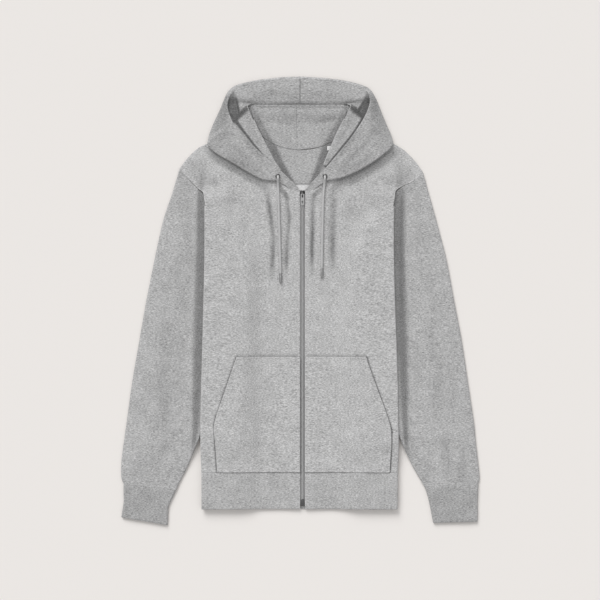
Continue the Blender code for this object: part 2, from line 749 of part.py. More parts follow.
def back_panel(group):
    """The back, flat on the table, with both sides folded up and inward."""
    across = [i / 18 for i in (0, 2, 4, 5, 6, 7, 8, 9, 10, 11, 12, 13, 14, 16, 18)]
    reach = CLOTH + SLACK / 2
    rows = []
    for y in BACK_ROWS:
        tucked = at_key(TUCK, y)[0]
        turns = {}
        for side in (-1, 1):
            turn_x = body_edge(side, y) - side * (BACK_INSET + reach)
            over = [
                (turn_x - side * max(1.0, tucked - reach - BACK_INSET) * share, y, BACK_OVER_Z)
                for share in (1.0, 0.5, 0.0)
            ]
            arc = half_turn((turn_x, y, BACK_OVER_Z), BACK_Z, (side, 0.0), 4)
            turns[side] = (turn_x, over + arc)
        left_x, left_turn = turns[-1]
        right_x, right_turn = turns[1]
        middle = [(left_x + (right_x - left_x) * share, y, BACK_Z) for share in across]
        rows.append(left_turn + middle + right_turn[::-1])
    blank = [None] * len(left_turn)
    base_y = BACK_ROWS[-1]

    def side_line(side, turn_x):
        inset = [(share, x - side * BACK_INSET * (1 - share), y)
                 for share, x, y in FRONT_SIDE[side][1:]]
        return [(0.0, turn_x, base_y)] + inset

    left_side, right_side = side_line(-1, left_x), side_line(1, right_x)
    plan = patch(
        lambda u: (left_x + (right_x - left_x) * u, base_y),
        back_top,
        lambda v: at_key(left_side, v),
        lambda v: at_key(right_side, v),
        across,
        SHOULDER_ROWS,
    )
    for row in plan:
        rows.append(blank + [(x, y, BACK_Z) for x, y in row] + blank)
    return wall("back", rows, CLOTH, "fleece inside", group)


def sleeve_lift(side, x, y):
    """How far the sleeve is lifted where it passes between the body's tucked layers."""
    inward = -side * (x - body_edge(side, min(y, 217.0)))
    beside = ease(-24.0, -3.0, inward)
    below_seam = 1.0 - ease(206.0, 221.0, y)
    return (SLEEVE_UNDER_Z - CLOTH / 2) * beside * below_seam


def tube_ring(outer, inner, bow, lift, thick, slack, stops, fullness):
    """One ring of a flattened tube from its outer fold over the top to its inner fold.

    The stops are shares of the width where both layers have a point. The tube is full up to
    the second of them, and pressed flat past it.
    """
    radius = (thick + slack) / 2
    long = math.dist(outer, inner)
    way = ((inner[0] - outer[0]) / long, (inner[1] - outer[1]) / long)
    inset = (radius + thick / 2) / long
    first, last = inset, 1 - inset
    shares = [first, first + (stops[0] - first) / 3, first + (stops[0] - first) * 2 / 3, *stops,
              (stops[-1] + last) / 2, last]

    def point(share, top):
        x, y = mix(outer, inner, share)
        bend = bow(share)
        x, y = x + bend[0], y + bend[1]
        low = thick / 2 + lift(x, y)
        puff = fullness * math.sin(math.pi * min(1.0, (share - first) / (stops[1] - first))) ** 2
        return (x, y, low + (2 * radius + puff if top else 0.0))

    over = [point(share, True) for share in shares]
    under = [point(share, False) for share in shares[::-1]]
    inner_turn = half_turn(over[-1], under[0][2], way, 3)
    outer_turn = half_turn(under[-1], over[0][2], (-way[0], -way[1]), 3)
    return over + inner_turn + under + outer_turn


def sleeve(side, group):
    """A sleeve: a flattened tube from the cuff seam up to the armhole."""
    table = SLEEVES[side]
    hole = ARMHOLES[side]
    tip, underarm = hole[0][1:], hole[-1][1:]
    rings = []
    for step in SLEEVE_STEPS:
        outer_x, outer_y, inner_x, inner_y, curve = at_step(table, step)

        def bow(share, curve=curve):
            seam = at_key(hole, share)
            straight = mix(tip, underarm, share)
            return (curve * (seam[0] - straight[0]), curve * (seam[1] - straight[1]))

        def outside_body(share):
            x, y = mix((outer_x, outer_y), (inner_x, inner_y), share)
            bend = bow(share)
            return side * (x + bend[0] - body_edge(side, min(y + bend[1], 217.0)))

        stops = []
        for outside, least, most in ((24.0, 0.12, 0.50), (17.0, 0.17, 0.60), (10.0, 0.22, 0.70),
                                     (2.6, 0.27, 0.80), (-9.0, 0.36, 0.88)):
            share = least
            while share < most and outside_body(share) > outside:
                share += 0.004
            stops.append(share)
        full = 2.4 * (1.0 - ease(120.0, 235.0, outer_y)) * ease(-356.0, -310.0, outer_y)
        rings.append(tube_ring(
            (outer_x, outer_y), (inner_x, inner_y), bow,
            lambda x, y: sleeve_lift(side, x, y), CLOTH, SLEEVE_SLACK, stops, full,
        ))
    name = "sleeve_left" if side < 0 else "sleeve_right"
    return wall(name, rings, CLOTH, "fleece", group, ring=True)


def cuff(side, group):
    rings = []
    for step in (0, 1, 2, 3, 4):
        outer_x, outer_y, inner_x, inner_y = at_step(CUFFS[side], step)
        rings.append(tube_ring(
            (outer_x, outer_y), (inner_x, inner_y), lambda share: (0.0, 0.0),
            lambda x, y: 0.0, CUFF_RIB, 0.6, (0.4, 0.5, 0.6, 0.7, 0.8), 0.6,
        ))
    name = "cuff_left" if side < 0 else "cuff_right"
    return wall(name, rings, CUFF_RIB, "rib", group, ring=True)


def hem(group):
    """The hem rib: one band from the zip round both tucked sides and back to the zip."""
    back_z = RIB / 2
    over_z = back_z + RIB + RIB_SLACK
    under_z = over_z + RIB + 0.6
    top_z = under_z + RIB + RIB_SLACK
    reach = RIB / 2 + (RIB + RIB_SLACK) / 2
    rows = []
    for y in (HEM_SEAM - GAP - 0.1, HEM_SEAM - 22.0, HEM_SEAM - 48.0, HEM_BOTTOM):
        halves = {}
        for side in (-1, 1):
            edge = body_edge(side, y)
            start = ZIP_X + side * ZIP_HALF_GAP
            turn = edge - side * reach
            seam = edge - side * 66.0
            path = []
            for share in (0.0, 0.07, 0.14, 0.22, 0.3, 0.42, 0.54, 0.66, 0.8, 1.0):
                x = start + (turn - start) * share
                away = abs(x - ZIP_X)
                low = 5.0 - 1.0 * ease(16.0, 40.0, away)
                path.append((x, y, low + (top_z - low) * climb(x, y)))
            path += half_turn(path[-1], under_z, (side, 0.0), 4)
            path += [(turn, y, under_z), (turn - side * 30.0, y, under_z), (seam, y, under_z)]
            path += half_turn((seam, y, under_z), over_z, (-side, 0.0), 3)
            inner = turn - side * BACK_INSET
            path += [(seam, y, over_z), (turn - side * 30.0, y, over_z), (inner, y, over_z)]
            path += half_turn((inner, y, over_z), back_z, (side, 0.0), 4)
            path += [(inner, y, back_z), (edge - side * 80.0, y, back_z)]
            halves[side] = path
        rows.append(halves[-1] + [(ZIP_X, y, back_z)] + halves[1][::-1])
    return wall("hem_rib", rows, RIB, "rib", group)


def hood_section(side, step):
    """One section of the hood: its front edge, over the fold, and under to its seam."""
    edge_x, edge_y, edge_z, fold_x, fold_y, roll = at_step(HOOD[side], step)
    seam = straight_key(HOOD_SEAM[side], step)
    long = math.dist((edge_x, edge_y), (fold_x, fold_y))
    way = ((fold_x - edge_x) / long, (fold_y - edge_y) / long)
    if step < FOLDED_FROM:
        end_z = front_height(fold_x, fold_y) + (CLOTH + GAP) * ease(1.0, 2.0, step)
        over = []
        for share in HOOD_OVER:
            x, y = mix((edge_x, edge_y), (fold_x, fold_y), share)
            over.append((x, y, edge_z + (end_z - edge_z) * share))
        return over + [None] * (3 + len(HOOD_UNDER))
    reach = roll + CLOTH / 2
    turn = (fold_x - way[0] * reach, fold_y - way[1] * reach)
    low = hood_bed(side, *turn)
    high = low + 2 * roll
    over = []
    for share in HOOD_OVER:
        x, y = mix((edge_x, edge_y), turn, share)
        over.append((x, y, edge_z + (high - edge_z) * share))
    under = []
    for share in HOOD_UNDER:
        x, y = mix(turn, seam, share)
        under.append((x, y, hood_bed(side, x, y)))
    return over + half_turn(over[-1], low, way, 4) + under


def hood_half(side, group):
    rows = [hood_section(side, step) for step in HOOD_STEPS]
    return wall("hood_left" if side < 0 else "hood_right", rows, CLOTH, "fleece", group)


def flap(side, group):
    """Lining inside the hood's edge: a band at the crown and a folded flap down the side."""
    table = FLAPS[side]
    rows = []
    for step in FLAP_STEPS:
        inner_x, inner_y, inner_z, outer_z, run = at_key(table, step)
        edge_x, edge_y, _, fold_x, fold_y = at_step(HOOD[side], step)[:5]
        long = math.dist((edge_x, edge_y), (fold_x, fold_y))
        start = (edge_x + (fold_x - edge_x) / long * run, edge_y + (fold_y - edge_y) / long * run)
        long = math.dist(start, (inner_x, inner_y))
        way = ((inner_x - start[0]) / long, (inner_y - start[1]) / long)
        reach = FLAP_ROLL + CLOTH / 2
        end = (inner_x - way[0] * reach, inner_y - way[1] * reach)
        row = []
        for share in (0.0, 0.25, 0.5, 0.75, 1.0):
            x, y = mix(start, end, share)
            row.append((x, y, outer_z + (inner_z - outer_z) * ease(0.0, 1.0, share)))
        if step <= FLAP_TURN_TO:
            low = inner_z - 2 * FLAP_ROLL
            back = min(FLAP_TURN, long * 0.4)
            row += half_turn((*end, inner_z), low, way, 4)
            row += [(end[0], end[1], low), (end[0] - way[0] * back, end[1] - way[1] * back, low)]
        else:
            row += [None] * 5
        rows.append(row)
    name = "hood_lining_left" if side < 0 else "hood_lining_right"
    return wall(name, rows, CLOTH, "fleece", group)


def hood_back(side, group):
    """Inside of the hood's back on one side of its seam, its top edge folded under."""
    lines = HOOD_BACK[side]
    low_seam, top_seam = lines["seam"]
    top_side = lines["side"][-1][1:]
    reach = FLAP_ROLL + CLOTH / 2
    across = [i / 6 for i in range(7)]
    upward = [0.0, 0.2, 0.4, 0.58, 0.7, 0.8, 0.9, 1.0]
    plan = patch(
        lambda u: at_key(lines["neck"], u),
        lambda u: mix((top_seam[0], top_seam[1] - reach), (top_side[0], top_side[1] - reach), u),
        lambda v: mix(low_seam, (top_seam[0], top_seam[1] - reach), v),
        lambda v: at_key([row if row[0] < 1 else (1.0, top_side[0], top_side[1] - reach)
                          for row in lines["side"]], v),
        across,
        upward,
    )
    climb = HOOD_BACK_HIGH - HOOD_BACK_LOW
    rows = [[(x, y, HOOD_BACK_LOW + climb * ease(*HOOD_BACK_RISE, y)) for x, y in row]
            for row in plan]
    low = HOOD_BACK_HIGH - 2 * FLAP_ROLL
    turns = [half_turn(point, low, (0.0, 1.0), 4) for point in rows[-1]]
    for i in range(3):
        rows.append([turn[i] for turn in turns])
    for back in (0.0, HOOD_BACK_TURN):
        rows.append([(x, y - back, low) for x, y, _ in rows[7]])
    name = "hood_back_left" if side < 0 else "hood_back_right"
    return wall(name, rows, CLOTH, "fleece", group)


def neck_patch(group):
    z = CLOTH + GAP + FACING / 2
    rows = []
    for y, left, right, hang in NECK_PATCH:
        row = []
        for i in range(9):
            share = i / 8
            x = left + (right - left) * share
            row.append((x, y - hang * (1 - (2 * share - 1) ** 2), z))
        rows.append(row)
    return wall("neck_patch", rows, FACING, "fleece", group)


def pocket(side, group):
    """A patch pocket on a front, made from the front's own points and moved out."""
    shared = [row[0] for row in FRONT_TOP[side] if row[0] < 0.6]
    rows = []
    for y in [row for row in PANEL_ROWS if row < -100.0]:
        outer = at_key(POCKETS[side], y)[0]
        columns = [front_column(side, share, y) for share in shared]
        columns += [columns[-1] + (outer - columns[-1]) * i / 3 for i in (1, 2, 3)]
        rows.append([(x, y, front_height(x, y) + CLOTH + 2 * GAP) for x in columns])
    return wall("pocket_left" if side < 0 else "pocket_right", rows, CLOTH, "fleece", group)


def box(name, low, high, material, group, bevel=0.0):
    """A plain bar between two corners, with rounded edges where bevel is given."""
    work = bmesh.new()
    bmesh.ops.create_cube(work, size=1.0)
    for vert in work.verts:
        for k in range(3):
            vert.co[k] = (low[k] + (high[k] - low[k]) * (vert.co[k] + 0.5)) * MM
    mesh = bpy.data.meshes.new(name)
    work.to_mesh(mesh)
    work.free()
    piece = add(name, mesh, material, group)
    if bevel:
        edges = piece.modifiers.new("edges", "BEVEL")
        edges.width = bevel * MM
        edges.segments = 2
    return piece


def zip_strips(group):
    """The two tapes and the two rows of teeth, closed up to the slider."""
    for side, word in ((-1, "left"), (1, "right")):
        inner, outer = ZIP_X + side * GAP / 2, ZIP_X + side * TAPE_HALF
        box(f"zip_tape_{word}", (min(inner, outer), ZIP_BOTTOM, TAPE_Z - TAPE / 2),
            (max(inner, outer), ZIP_TOP, TAPE_Z + TAPE / 2), "zip tape", group)
        outer = ZIP_X + side * CHAIN_HALF
        base = TAPE_Z + TAPE / 2 + GAP
        box(f"zip_teeth_{word}", (min(inner, outer), STOP_TOP + GAP, base),
            (max(inner, outer), SLIDER_TOP - SLIDER_LONG - GAP, base + CHAIN_HIGH),
            "zip teeth", group)
    base = TAPE_Z + TAPE / 2 + GAP
    box("zip_stop", (ZIP_X - STOP_WIDE / 2, ZIP_BOTTOM, base),
        (ZIP_X + STOP_WIDE / 2, STOP_TOP, base + STOP_HIGH), "dark metal", group, 0.5)


def mesh_of(piece):
    """The piece's mesh with its modifiers made real."""
    bpy.context.view_layer.update()
    seen = piece.evaluated_get(bpy.context.evaluated_depsgraph_get())
    return bpy.data.meshes.new_from_object(seen)


def join_or_cut(piece, other, how):
    """Boolean of two pieces, made real, with the other one removed."""
    step = piece.modifiers.new(how.lower(), "BOOLEAN")
    step.operation = how
    step.solver = "EXACT"
    step.object = other
    mesh = mesh_of(piece)
    piece.modifiers.clear()
    piece.data = mesh
    bpy.data.objects.remove(other, do_unlink=True)


def slider(group):
    """The slider's body with the bridge that holds the pull tab."""
    half = SLIDER_WIDE / 2
    top_z = SLIDER_BASE_Z + SLIDER_HIGH
    body = box("zip_slider", (ZIP_X - half, SLIDER_TOP - SLIDER_LONG, SLIDER_BASE_Z),
               (ZIP_X + half, SLIDER_TOP, top_z), "dark metal", group, 1.0)
    body.data = mesh_of(body)
    body.modifiers.clear()
    wide = BRIDGE_WIDE / 2
    reach = BRIDGE_REACH + BRIDGE_BAR / 2
    bridge = box("bridge", (ZIP_X - wide, PIVOT_Y - reach, top_z - 0.6),
                 (ZIP_X + wide, PIVOT_Y + reach, BRIDGE_TOP_Z), "dark metal", group)
    hole = reach - BRIDGE_BAR
    window = box("window", (ZIP_X - 2, PIVOT_Y - hole, top_z - 1.2),
                 (ZIP_X + 2, PIVOT_Y + hole, BRIDGE_TOP_Z - BRIDGE_BAR), "dark metal", group)
    join_or_cut(bridge, window, "DIFFERENCE")
    lid = box("lid", (ZIP_X - wide, PIVOT_Y - reach, top_z - 1.2),
              (ZIP_X + wide, PIVOT_Y + reach, top_z - 0.5), "dark metal", group)
    join_or_cut(bridge, lid, "UNION")
    join_or_cut(body, bridge, "UNION")
    return body


def pull(group):
    """The pull tab: a plate with a hole at each end, hanging from the bridge."""
    work = bmesh.new()
    half = PULL_WIDE / 2
    outline = []
    for i in range(7):
        angle = math.pi * i / 6
        outline.append((half * math.cos(angle), 0.5 * math.sin(angle) + 0.3))
    foot = PULL_LONG - half * 0.8
    for i in range(9):
        angle = math.pi + math.pi * i / 8
        outline.append((half * math.cos(angle), -foot + half * 0.8 * math.sin(angle)))
    top = [work.verts.new((x * MM, y * MM, PULL_THICK / 2 * MM)) for x, y in outline]
    low = [work.verts.new((x * MM, y * MM, -PULL_THICK / 2 * MM)) for x, y in outline]
    work.faces.new(top)
    work.faces.new(low[::-1])
    for i, corner in enumerate(top):
        j = (i + 1) % len(top)
        work.faces.new([corner, low[i], low[j], top[j]])
    bmesh.ops.recalc_face_normals(work, faces=work.faces)
    mesh = bpy.data.meshes.new("zip_pull")
    work.to_mesh(mesh)
    work.free()
    piece = add("zip_pull", mesh, "metal", group)
    bridge_hole = box("bridge hole", (-1.5, -6.2, -2.0), (1.5, -0.8, 2.0), "metal", group)
    join_or_cut(piece, bridge_hole, "DIFFERENCE")
    end_hole = box("end hole", (-1.6, -17.8, -2.0), (1.6, -12.6, 2.0), "metal", group)
    join_or_cut(piece, end_hole, "DIFFERENCE")
    piece.location = (ZIP_X * MM, PIVOT_Y * MM, PIVOT_Z * MM)
    piece.rotation_euler = (PULL_TILT, 0.0, 0.0)
    return piece


def cord_curve(points):
    """Points along a smooth curve through a cord's route, about 2.5 diameters apart."""
    fine = [at_step(points, i / 8) for i in range(8 * (len(points) - 1) + 1)]
    kept, walked = [fine[0]], 0.0
    for before, here in zip(fine, fine[1:]):
        walked += math.dist(before, here)
        near_start = math.dist(here, fine[0]) < 30.0
        if walked > CORD * (0.8 if near_start else 2.4):
            kept.append(here)
            walked = 0.0
    kept[-1] = fine[-1]
    return kept


def drawcord(side, group):
    word = "left" if side < 0 else "right"
    points = cord_curve(CORD_ROUTES[side])
    curve = bpy.data.curves.new(f"drawcord_{word}", "CURVE")
    curve.dimensions = "3D"
    line = curve.splines.new("POLY")
    line.points.add(len(points) - 1)
    for spot, point in zip(line.points, points):
        spot.co = (*(c * MM for c in point), 1.0)
    curve.bevel_depth = CORD / 2 * MM
    curve.bevel_resolution = 2
    curve.use_fill_caps = True
    add(f"drawcord_{word}", curve, "cord", group)
    before, end = points[-2:]
    way = Vector(end) - Vector(before)
    way.normalize()
    middle = (Vector(end) + way * (GAP + TIP / 2)) * MM
    work = bmesh.new()
    bmesh.ops.create_cone(work, cap_ends=True, segments=14, radius1=TIP_ROUND / 2 * MM,
                          radius2=TIP_ROUND / 2 * MM, depth=TIP * MM)
    mesh = bpy.data.meshes.new(f"cord_tip_{word}")
    work.to_mesh(mesh)
    work.free()
    tip = add(f"cord_tip_{word}", mesh, "dark metal", group)
    tip.location = middle
    tip.rotation_euler = way.to_track_quat("Z", "Y").to_euler()


def eyelet(side, group):
    """A flanged metal ring on the hood, a profile turned about its axis."""
    word = "left" if side < 0 else "right"
    hole, outside = EYELET_HOLE / 2, EYELET_ROUND / 2
    profile = [(outside, 0.0), (outside, 0.35), (outside - 0.7, 0.95),
               (hole + 0.7, EYELET_HIGH), (hole, 0.8), (hole, 0.0)]
    work = bmesh.new()
    count = 14
    rings = []
    for i in range(count):
        angle = 2 * math.pi * i / count
        rings.append([work.verts.new((r * math.cos(angle) * MM, r * math.sin(angle) * MM, z * MM))
                      for r, z in profile])
    for i, ring in enumerate(rings):
        beside = rings[(i + 1) % count]
        for j in range(len(profile)):
            k = (j + 1) % len(profile)
            work.faces.new([ring[j], beside[j], beside[k], ring[k]])
    bmesh.ops.recalc_face_normals(work, faces=work.faces)
    mesh = bpy.data.meshes.new(f"eyelet_{word}")
    work.to_mesh(mesh)
    work.free()
    ring = add(f"eyelet_{word}", mesh, "dark metal", group)
    x, y, z, climb_x, climb_y = EYELETS[side]
    ring.location = (x * MM, y * MM, z * MM)
    ring.rotation_euler = Vector((-climb_x, -climb_y, 1.0)).to_track_quat("Z", "Y").to_euler()


def size_tab(group):
    z = CLOTH + FACING + 2 * GAP
    return box("size_tab", (50.0, 294.5, z), (61.5, 303.5, z + 0.5), "label", group)


def centre(group):
    """Move the garment so that the middle of its outline is the origin."""
    for piece in group.objects:
        piece.location.x -= MIDDLE[0] * MM
        piece.location.y -= MIDDLE[1] * MM


def build():
    clear_scene()
    group = bpy.data.collections.new("zip_up_hoodie")
    bpy.context.scene.collection.children.link(group)
    back_panel(group)
    hem(group)
    for side in (-1, 1):
        front_panel(side, group)
        pocket(side, group)
        sleeve(side, group)
        cuff(side, group)
        hood_half(side, group)
        flap(side, group)
        hood_back(side, group)
        eyelet(side, group)
        drawcord(side, group)
    neck_patch(group)
    size_tab(group)
    zip_strips(group)
    slider(group)
    pull(group)
    centre(group)


build()
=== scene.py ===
# %% [markdown]
# A zip-up hoodie in heather grey fleece, laid flat on a table with its front up. The packed
# model holds its plain solids. This script puts the cloth, the rib, the stitches, the zip and
# the cords over them. Sizes are in millimetres until a mesh is made.

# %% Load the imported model
import math

import bmesh
import bpy
import numpy as np
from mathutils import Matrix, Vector, noise
from mathutils.bvhtree import BVHTree


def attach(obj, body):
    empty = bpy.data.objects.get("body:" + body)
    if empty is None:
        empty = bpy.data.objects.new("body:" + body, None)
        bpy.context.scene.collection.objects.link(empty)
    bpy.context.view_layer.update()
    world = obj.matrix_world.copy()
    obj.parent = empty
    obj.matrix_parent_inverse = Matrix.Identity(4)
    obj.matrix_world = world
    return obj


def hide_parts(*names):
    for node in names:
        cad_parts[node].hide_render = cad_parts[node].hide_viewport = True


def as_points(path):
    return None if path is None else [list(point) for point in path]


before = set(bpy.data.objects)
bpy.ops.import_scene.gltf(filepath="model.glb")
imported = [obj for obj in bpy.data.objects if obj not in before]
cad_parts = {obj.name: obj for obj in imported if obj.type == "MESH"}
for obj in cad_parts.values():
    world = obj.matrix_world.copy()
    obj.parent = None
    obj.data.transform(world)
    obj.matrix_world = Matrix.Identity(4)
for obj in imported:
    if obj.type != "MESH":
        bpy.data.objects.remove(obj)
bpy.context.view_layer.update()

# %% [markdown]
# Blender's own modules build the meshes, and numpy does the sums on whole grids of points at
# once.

MM = 0.001
SIDES = ((-1, "left"), (1, "right"))  # the sign of x on each side of the zip, and its word
MIDDLE = (-1.946, 1.438)  # middle of the laid garment's outline, which becomes the origin
scene = bpy.context.scene


def put(name, data):
    """A new object in the scene."""
    item = bpy.data.objects.new(name, data)
    scene.collection.objects.link(item)
    return item


# %% [markdown]
# The camera hangs straight over the garment. A long lens far away keeps the sides of the folds
# from leaning outward, as it does over a real shooting table.

# %% Camera over the table
LENS = 100.0
SENSOR = 36.0
FRAME_WIDE = 1170.0  # millimetres of table across the picture
AIM = (-0.0007, 0.0011)  # the place on the table under the lens
STACK_MIDDLE = 0.01  # height at which the picture is FRAME_WIDE across
camera_data = bpy.data.cameras.new("camera")
camera_data.lens = LENS
camera_data.sensor_width = SENSOR
camera = put("camera", camera_data)
camera.location = (*AIM, LENS / SENSOR * FRAME_WIDE * MM + STACK_MIDDLE)
scene.camera = camera
print("camera stands", round(camera.location.z, 3), "m over the table")

# %% [markdown]
# A table of points says where each edge of the garment runs. The same few readers turn a table
# into a smooth curve, so an edge can be asked for at any height or share of its length.

# %% Read tables as smooth curves
def ease(low, high, value):
    """0 below low, 1 above high, and a smooth climb between them."""
    share = min(1.0, max(0.0, (value - low) / (high - low)))
    return share * share * (3.0 - 2.0 * share)


def mix(a, b, share):
    """The point at a share of the way from a to b."""
    return tuple(p + (q - p) * share for p, q in zip(a, b))


def heading(a, b):
    """The distance from one place to another, and the unit step toward it."""
    long = math.dist(a, b)
    return long, tuple((q - p) / long for p, q in zip(a, b))


def hermite(a, b, slope_a, slope_b, share):
    """The curve from a to b that leaves and arrives with the given slopes."""
    square, cube = share * share, share ** 3
    return (a * (2 * cube - 3 * square + 1) + slope_a * (cube - 2 * square + share)
            + b * (3 * square - 2 * cube) + slope_b * (cube - square))


def at_key(table, key):
    """The row of a table at a value of its first column, read along a smooth curve."""
    last = len(table) - 1
    i = max(0, min(last - 1, sum(row[0] <= key for row in table) - 1))
    low, high = table[i], table[i + 1]
    wide = high[0] - low[0]
    share = min(1.0, max(0.0, (key - low[0]) / wide))
    before, after = table[max(0, i - 1)], table[min(last, i + 2)]
    row = []
    for column in range(1, len(low)):
        a, b = low[column], high[column]
        slope_a = wide * (b - before[column]) / max(1e-9, high[0] - before[0])
        slope_b = wide * (after[column] - a) / max(1e-9, after[0] - low[0])
        row.append(hermite(a, b, slope_a, slope_b, share))
    return tuple(row)


def straight_key(table, key):
    """The row of a table at a value of its first column, read straight between its rows."""
    for low, high in zip(table, table[1:]):
        if key <= high[0]:
            return mix(low[1:], high[1:], (key - low[0]) / (high[0] - low[0]))
    return tuple(table[-1][1:])


def at_step(table, step):
    """The row of a table between its rows, where step counts rows from 0."""
    return at_key([(i, *row) for i, row in enumerate(table)], step)


def patch(bottom, top, start, end, across, upward):
    """A grid of (x, y) between four curves, each a function of a share from 0 to 1."""
    grid = []
    for v in upward:
        row = []
        for u in across:
            low, high = mix(bottom(0), bottom(1), u), mix(top(0), top(1), u)
            point = tuple(
                mix(bottom(u), top(u), v)[k] + mix(start(v), end(v), u)[k] - mix(low, high, v)[k]
                for k in range(2)
            )
            row.append(point)
        grid.append(row)
    return grid


def to_world(points):
    """Points of the pattern in millimetres, moved to the model's place in metres."""
    return (np.asarray(points, float) - (*MIDDLE, 0.0)) * MM


# %% [markdown]
# Every new piece is a mesh at the origin with its place in its points. These helpers make it
# from points and faces or from rings, give it its length map and keep it in a list, so that later
# cells can dress it.

# %% Make a piece from points and faces
pieces = {}


def add_piece(name, mesh):
    """A piece of the garment, kept by its name."""
    pieces[name] = put(name, mesh)
    return pieces[name]


def mesh_of(name, work):
    """The mesh of a closed shape, with its faces turned outward."""
    bmesh.ops.recalc_face_normals(work, faces=work.faces)
    mesh = bpy.data.meshes.new(name)
    work.to_mesh(mesh)
    work.free()
    return mesh


def join_rings(work, rings, closed=False):
    """Faces between rings of points, and over both ends unless the last ring meets the first."""
    for low, high in zip(rings, rings[1:] + (rings[:1] if closed else [])):
        for i in range(len(low)):
            j = (i + 1) % len(low)
            work.faces.new((low[i], low[j], high[j], high[i]))
    if not closed:
        work.faces.new(rings[0][::-1])
        work.faces.new(rings[-1])


def keep(name, points, faces, corners=None):
    """A smooth mesh object in the scene, with its length map where one is given."""
    mesh = bpy.data.meshes.new(name)
    mesh.from_pydata([tuple(point) for point in points], [], faces)
    if corners is not None:
        layer = mesh.uv_layers.new(name="cloth")
        layer.data.foreach_set("uv", np.asarray(corners, np.float32).ravel())
    mesh.shade_smooth()
    return add_piece(name, mesh)


# %% [markdown]
# The drawcords come out of the eyelets, go over the hood's lower edge and lie down the fronts.
# A cord is a tube along a smooth curve. Its rings stand square to the path, and each vertex
# carries how far round and how far along it is, so the braid can follow the cord.

# %% Drawcords
CORD = 4.6
CORD_ROUTES = {
    -1: [(-46, 243.6, 10.7), (-45.5, 243.3, 12.8), (-45.5, 241.7, 14.5), (-45.6, 238.7, 14.4),
         (-45.6, 235.2, 12.2), (-45.5, 231.2, 10), (-45.4, 226.5, 8.5), (-45.1, 221, 8.1),
         (-44.8, 214, 8.8), (-44.4, 200, 9.3), (-43.9, 180, 9.3), (-43.3, 158, 9.3),
         (-42.7, 136, 9.15), (-42.1, 114, 8.75), (-41.5, 92, 8.25), (-41, 72, 7.7),
         (-40.6, 54.6, 7.4)],
    1: [(46.2, 243.6, 9.7), (45.9, 243.2, 11.8), (45.9, 241.6, 13.5), (45.8, 238.7, 13.4),
        (45.6, 235.2, 11.3), (45.3, 231.2, 9.4), (44.9, 226.5, 8.2), (44.4, 221, 8),
        (43.6, 214, 8.8), (42.9, 200, 9.25), (42.2, 180, 9.4), (41.6, 158, 9.4), (41.2, 136, 9.15),
        (40.8, 114, 8.7), (40.5, 96, 8.2), (40.3, 80, 7.8), (40.2, 64.4, 7.45)],
}


def tube(name, path, radii, sides):
    """A closed tube of rings about a path, each with its own radius."""
    path = to_world(path)
    way = np.gradient(path, axis=0)
    way /= np.linalg.norm(way, axis=1, keepdims=True)
    across = np.cross(way, (1.0, 0.0, 0.0))
    across /= np.linalg.norm(across, axis=1, keepdims=True)
    other = np.cross(way, across)
    walked = np.r_[0.0, np.cumsum(np.linalg.norm(np.diff(path, axis=0), axis=1))] / MM
    turns = [2 * math.pi * i / sides for i in range(sides)]
    points, faces, corners = [], [], []
    for spot, a, b, radius in zip(path, across, other, radii):
        points += [spot + (a * math.cos(t) + b * math.sin(t)) * radius * MM for t in turns]
    for i in range(len(path) - 1):
        for j in range(sides):
            k = (j + 1) % sides
            faces.append((i * sides + j, (i + 1) * sides + j, (i + 1) * sides + k, i * sides + k))
            low, high = walked[i], walked[i + 1]
            corners += [(j, low), (j, high), (j + 1, high), (j + 1, low)]
    last = (len(path) - 1) * sides
    faces += [tuple(range(sides)), tuple(last + j for j in range(sides))[::-1]]
    corners += [(0.0, 0.0)] * (2 * sides)
    corners = np.array(corners) * (math.pi * CORD / sides, 1.0)
    return keep(name, points, faces, corners)


def fine_route(side):
    """A drawcord's route as close points, from the eyelet to its free end."""
    route = CORD_ROUTES[side]
    return [at_step(route, i / 8) for i in range(8 * (len(route) - 1) + 1)]


cord_lengths = {}
for side, word in SIDES:
    path = fine_route(side)
    cord_lengths[side] = sum(math.dist(a, b) for a, b in zip(path, path[1:]))
    tube(f"cord_{word}", path, [CORD / 2] * len(path), 16)
    print("drawcord", word, "is", round(cord_lengths[side]), "mm long outside the hood")

# %% [markdown]
# Each cord ends in a metal tip. It is turned like a spindle on a lathe: a profile of radii along
# the line on which the cord ends, with two rolled rings that grip the cord.

# %% Metal tips
TIP = 19.0
TIP_PROFILE = [
    # (along, radius)
    (0, 2.1), (0.3, 2.45), (0.9, 2.5), (1.6, 2.5), (2, 2.2), (2.6, 2.2), (3, 2.5), (3.6, 2.5),
    (4, 2.2), (4.6, 2.2), (5, 2.46), (8, 2.46), (11, 2.46), (14, 2.46), (17, 2.4), (18.2, 2.2),
    (18.8, 1.7), (19, 0.9),
]
for side, word in SIDES:
    before, end = (Vector(point) for point in fine_route(side)[-2:])
    way = (end - before).normalized()
    path = [end + way * (0.3 + along) for along, _ in TIP_PROFILE]
    tube(f"tip_{word}", path, [radius for _, radius in TIP_PROFILE], 24)
print("each tip is", TIP, "mm long")

# %% [markdown]
# The cloth lies in layers: the back on the table, its sides folded over, the sleeves on those,
# the fronts on top with their own sides tucked in. These numbers are the height of the middle
# of each layer, and these tables are the edges.

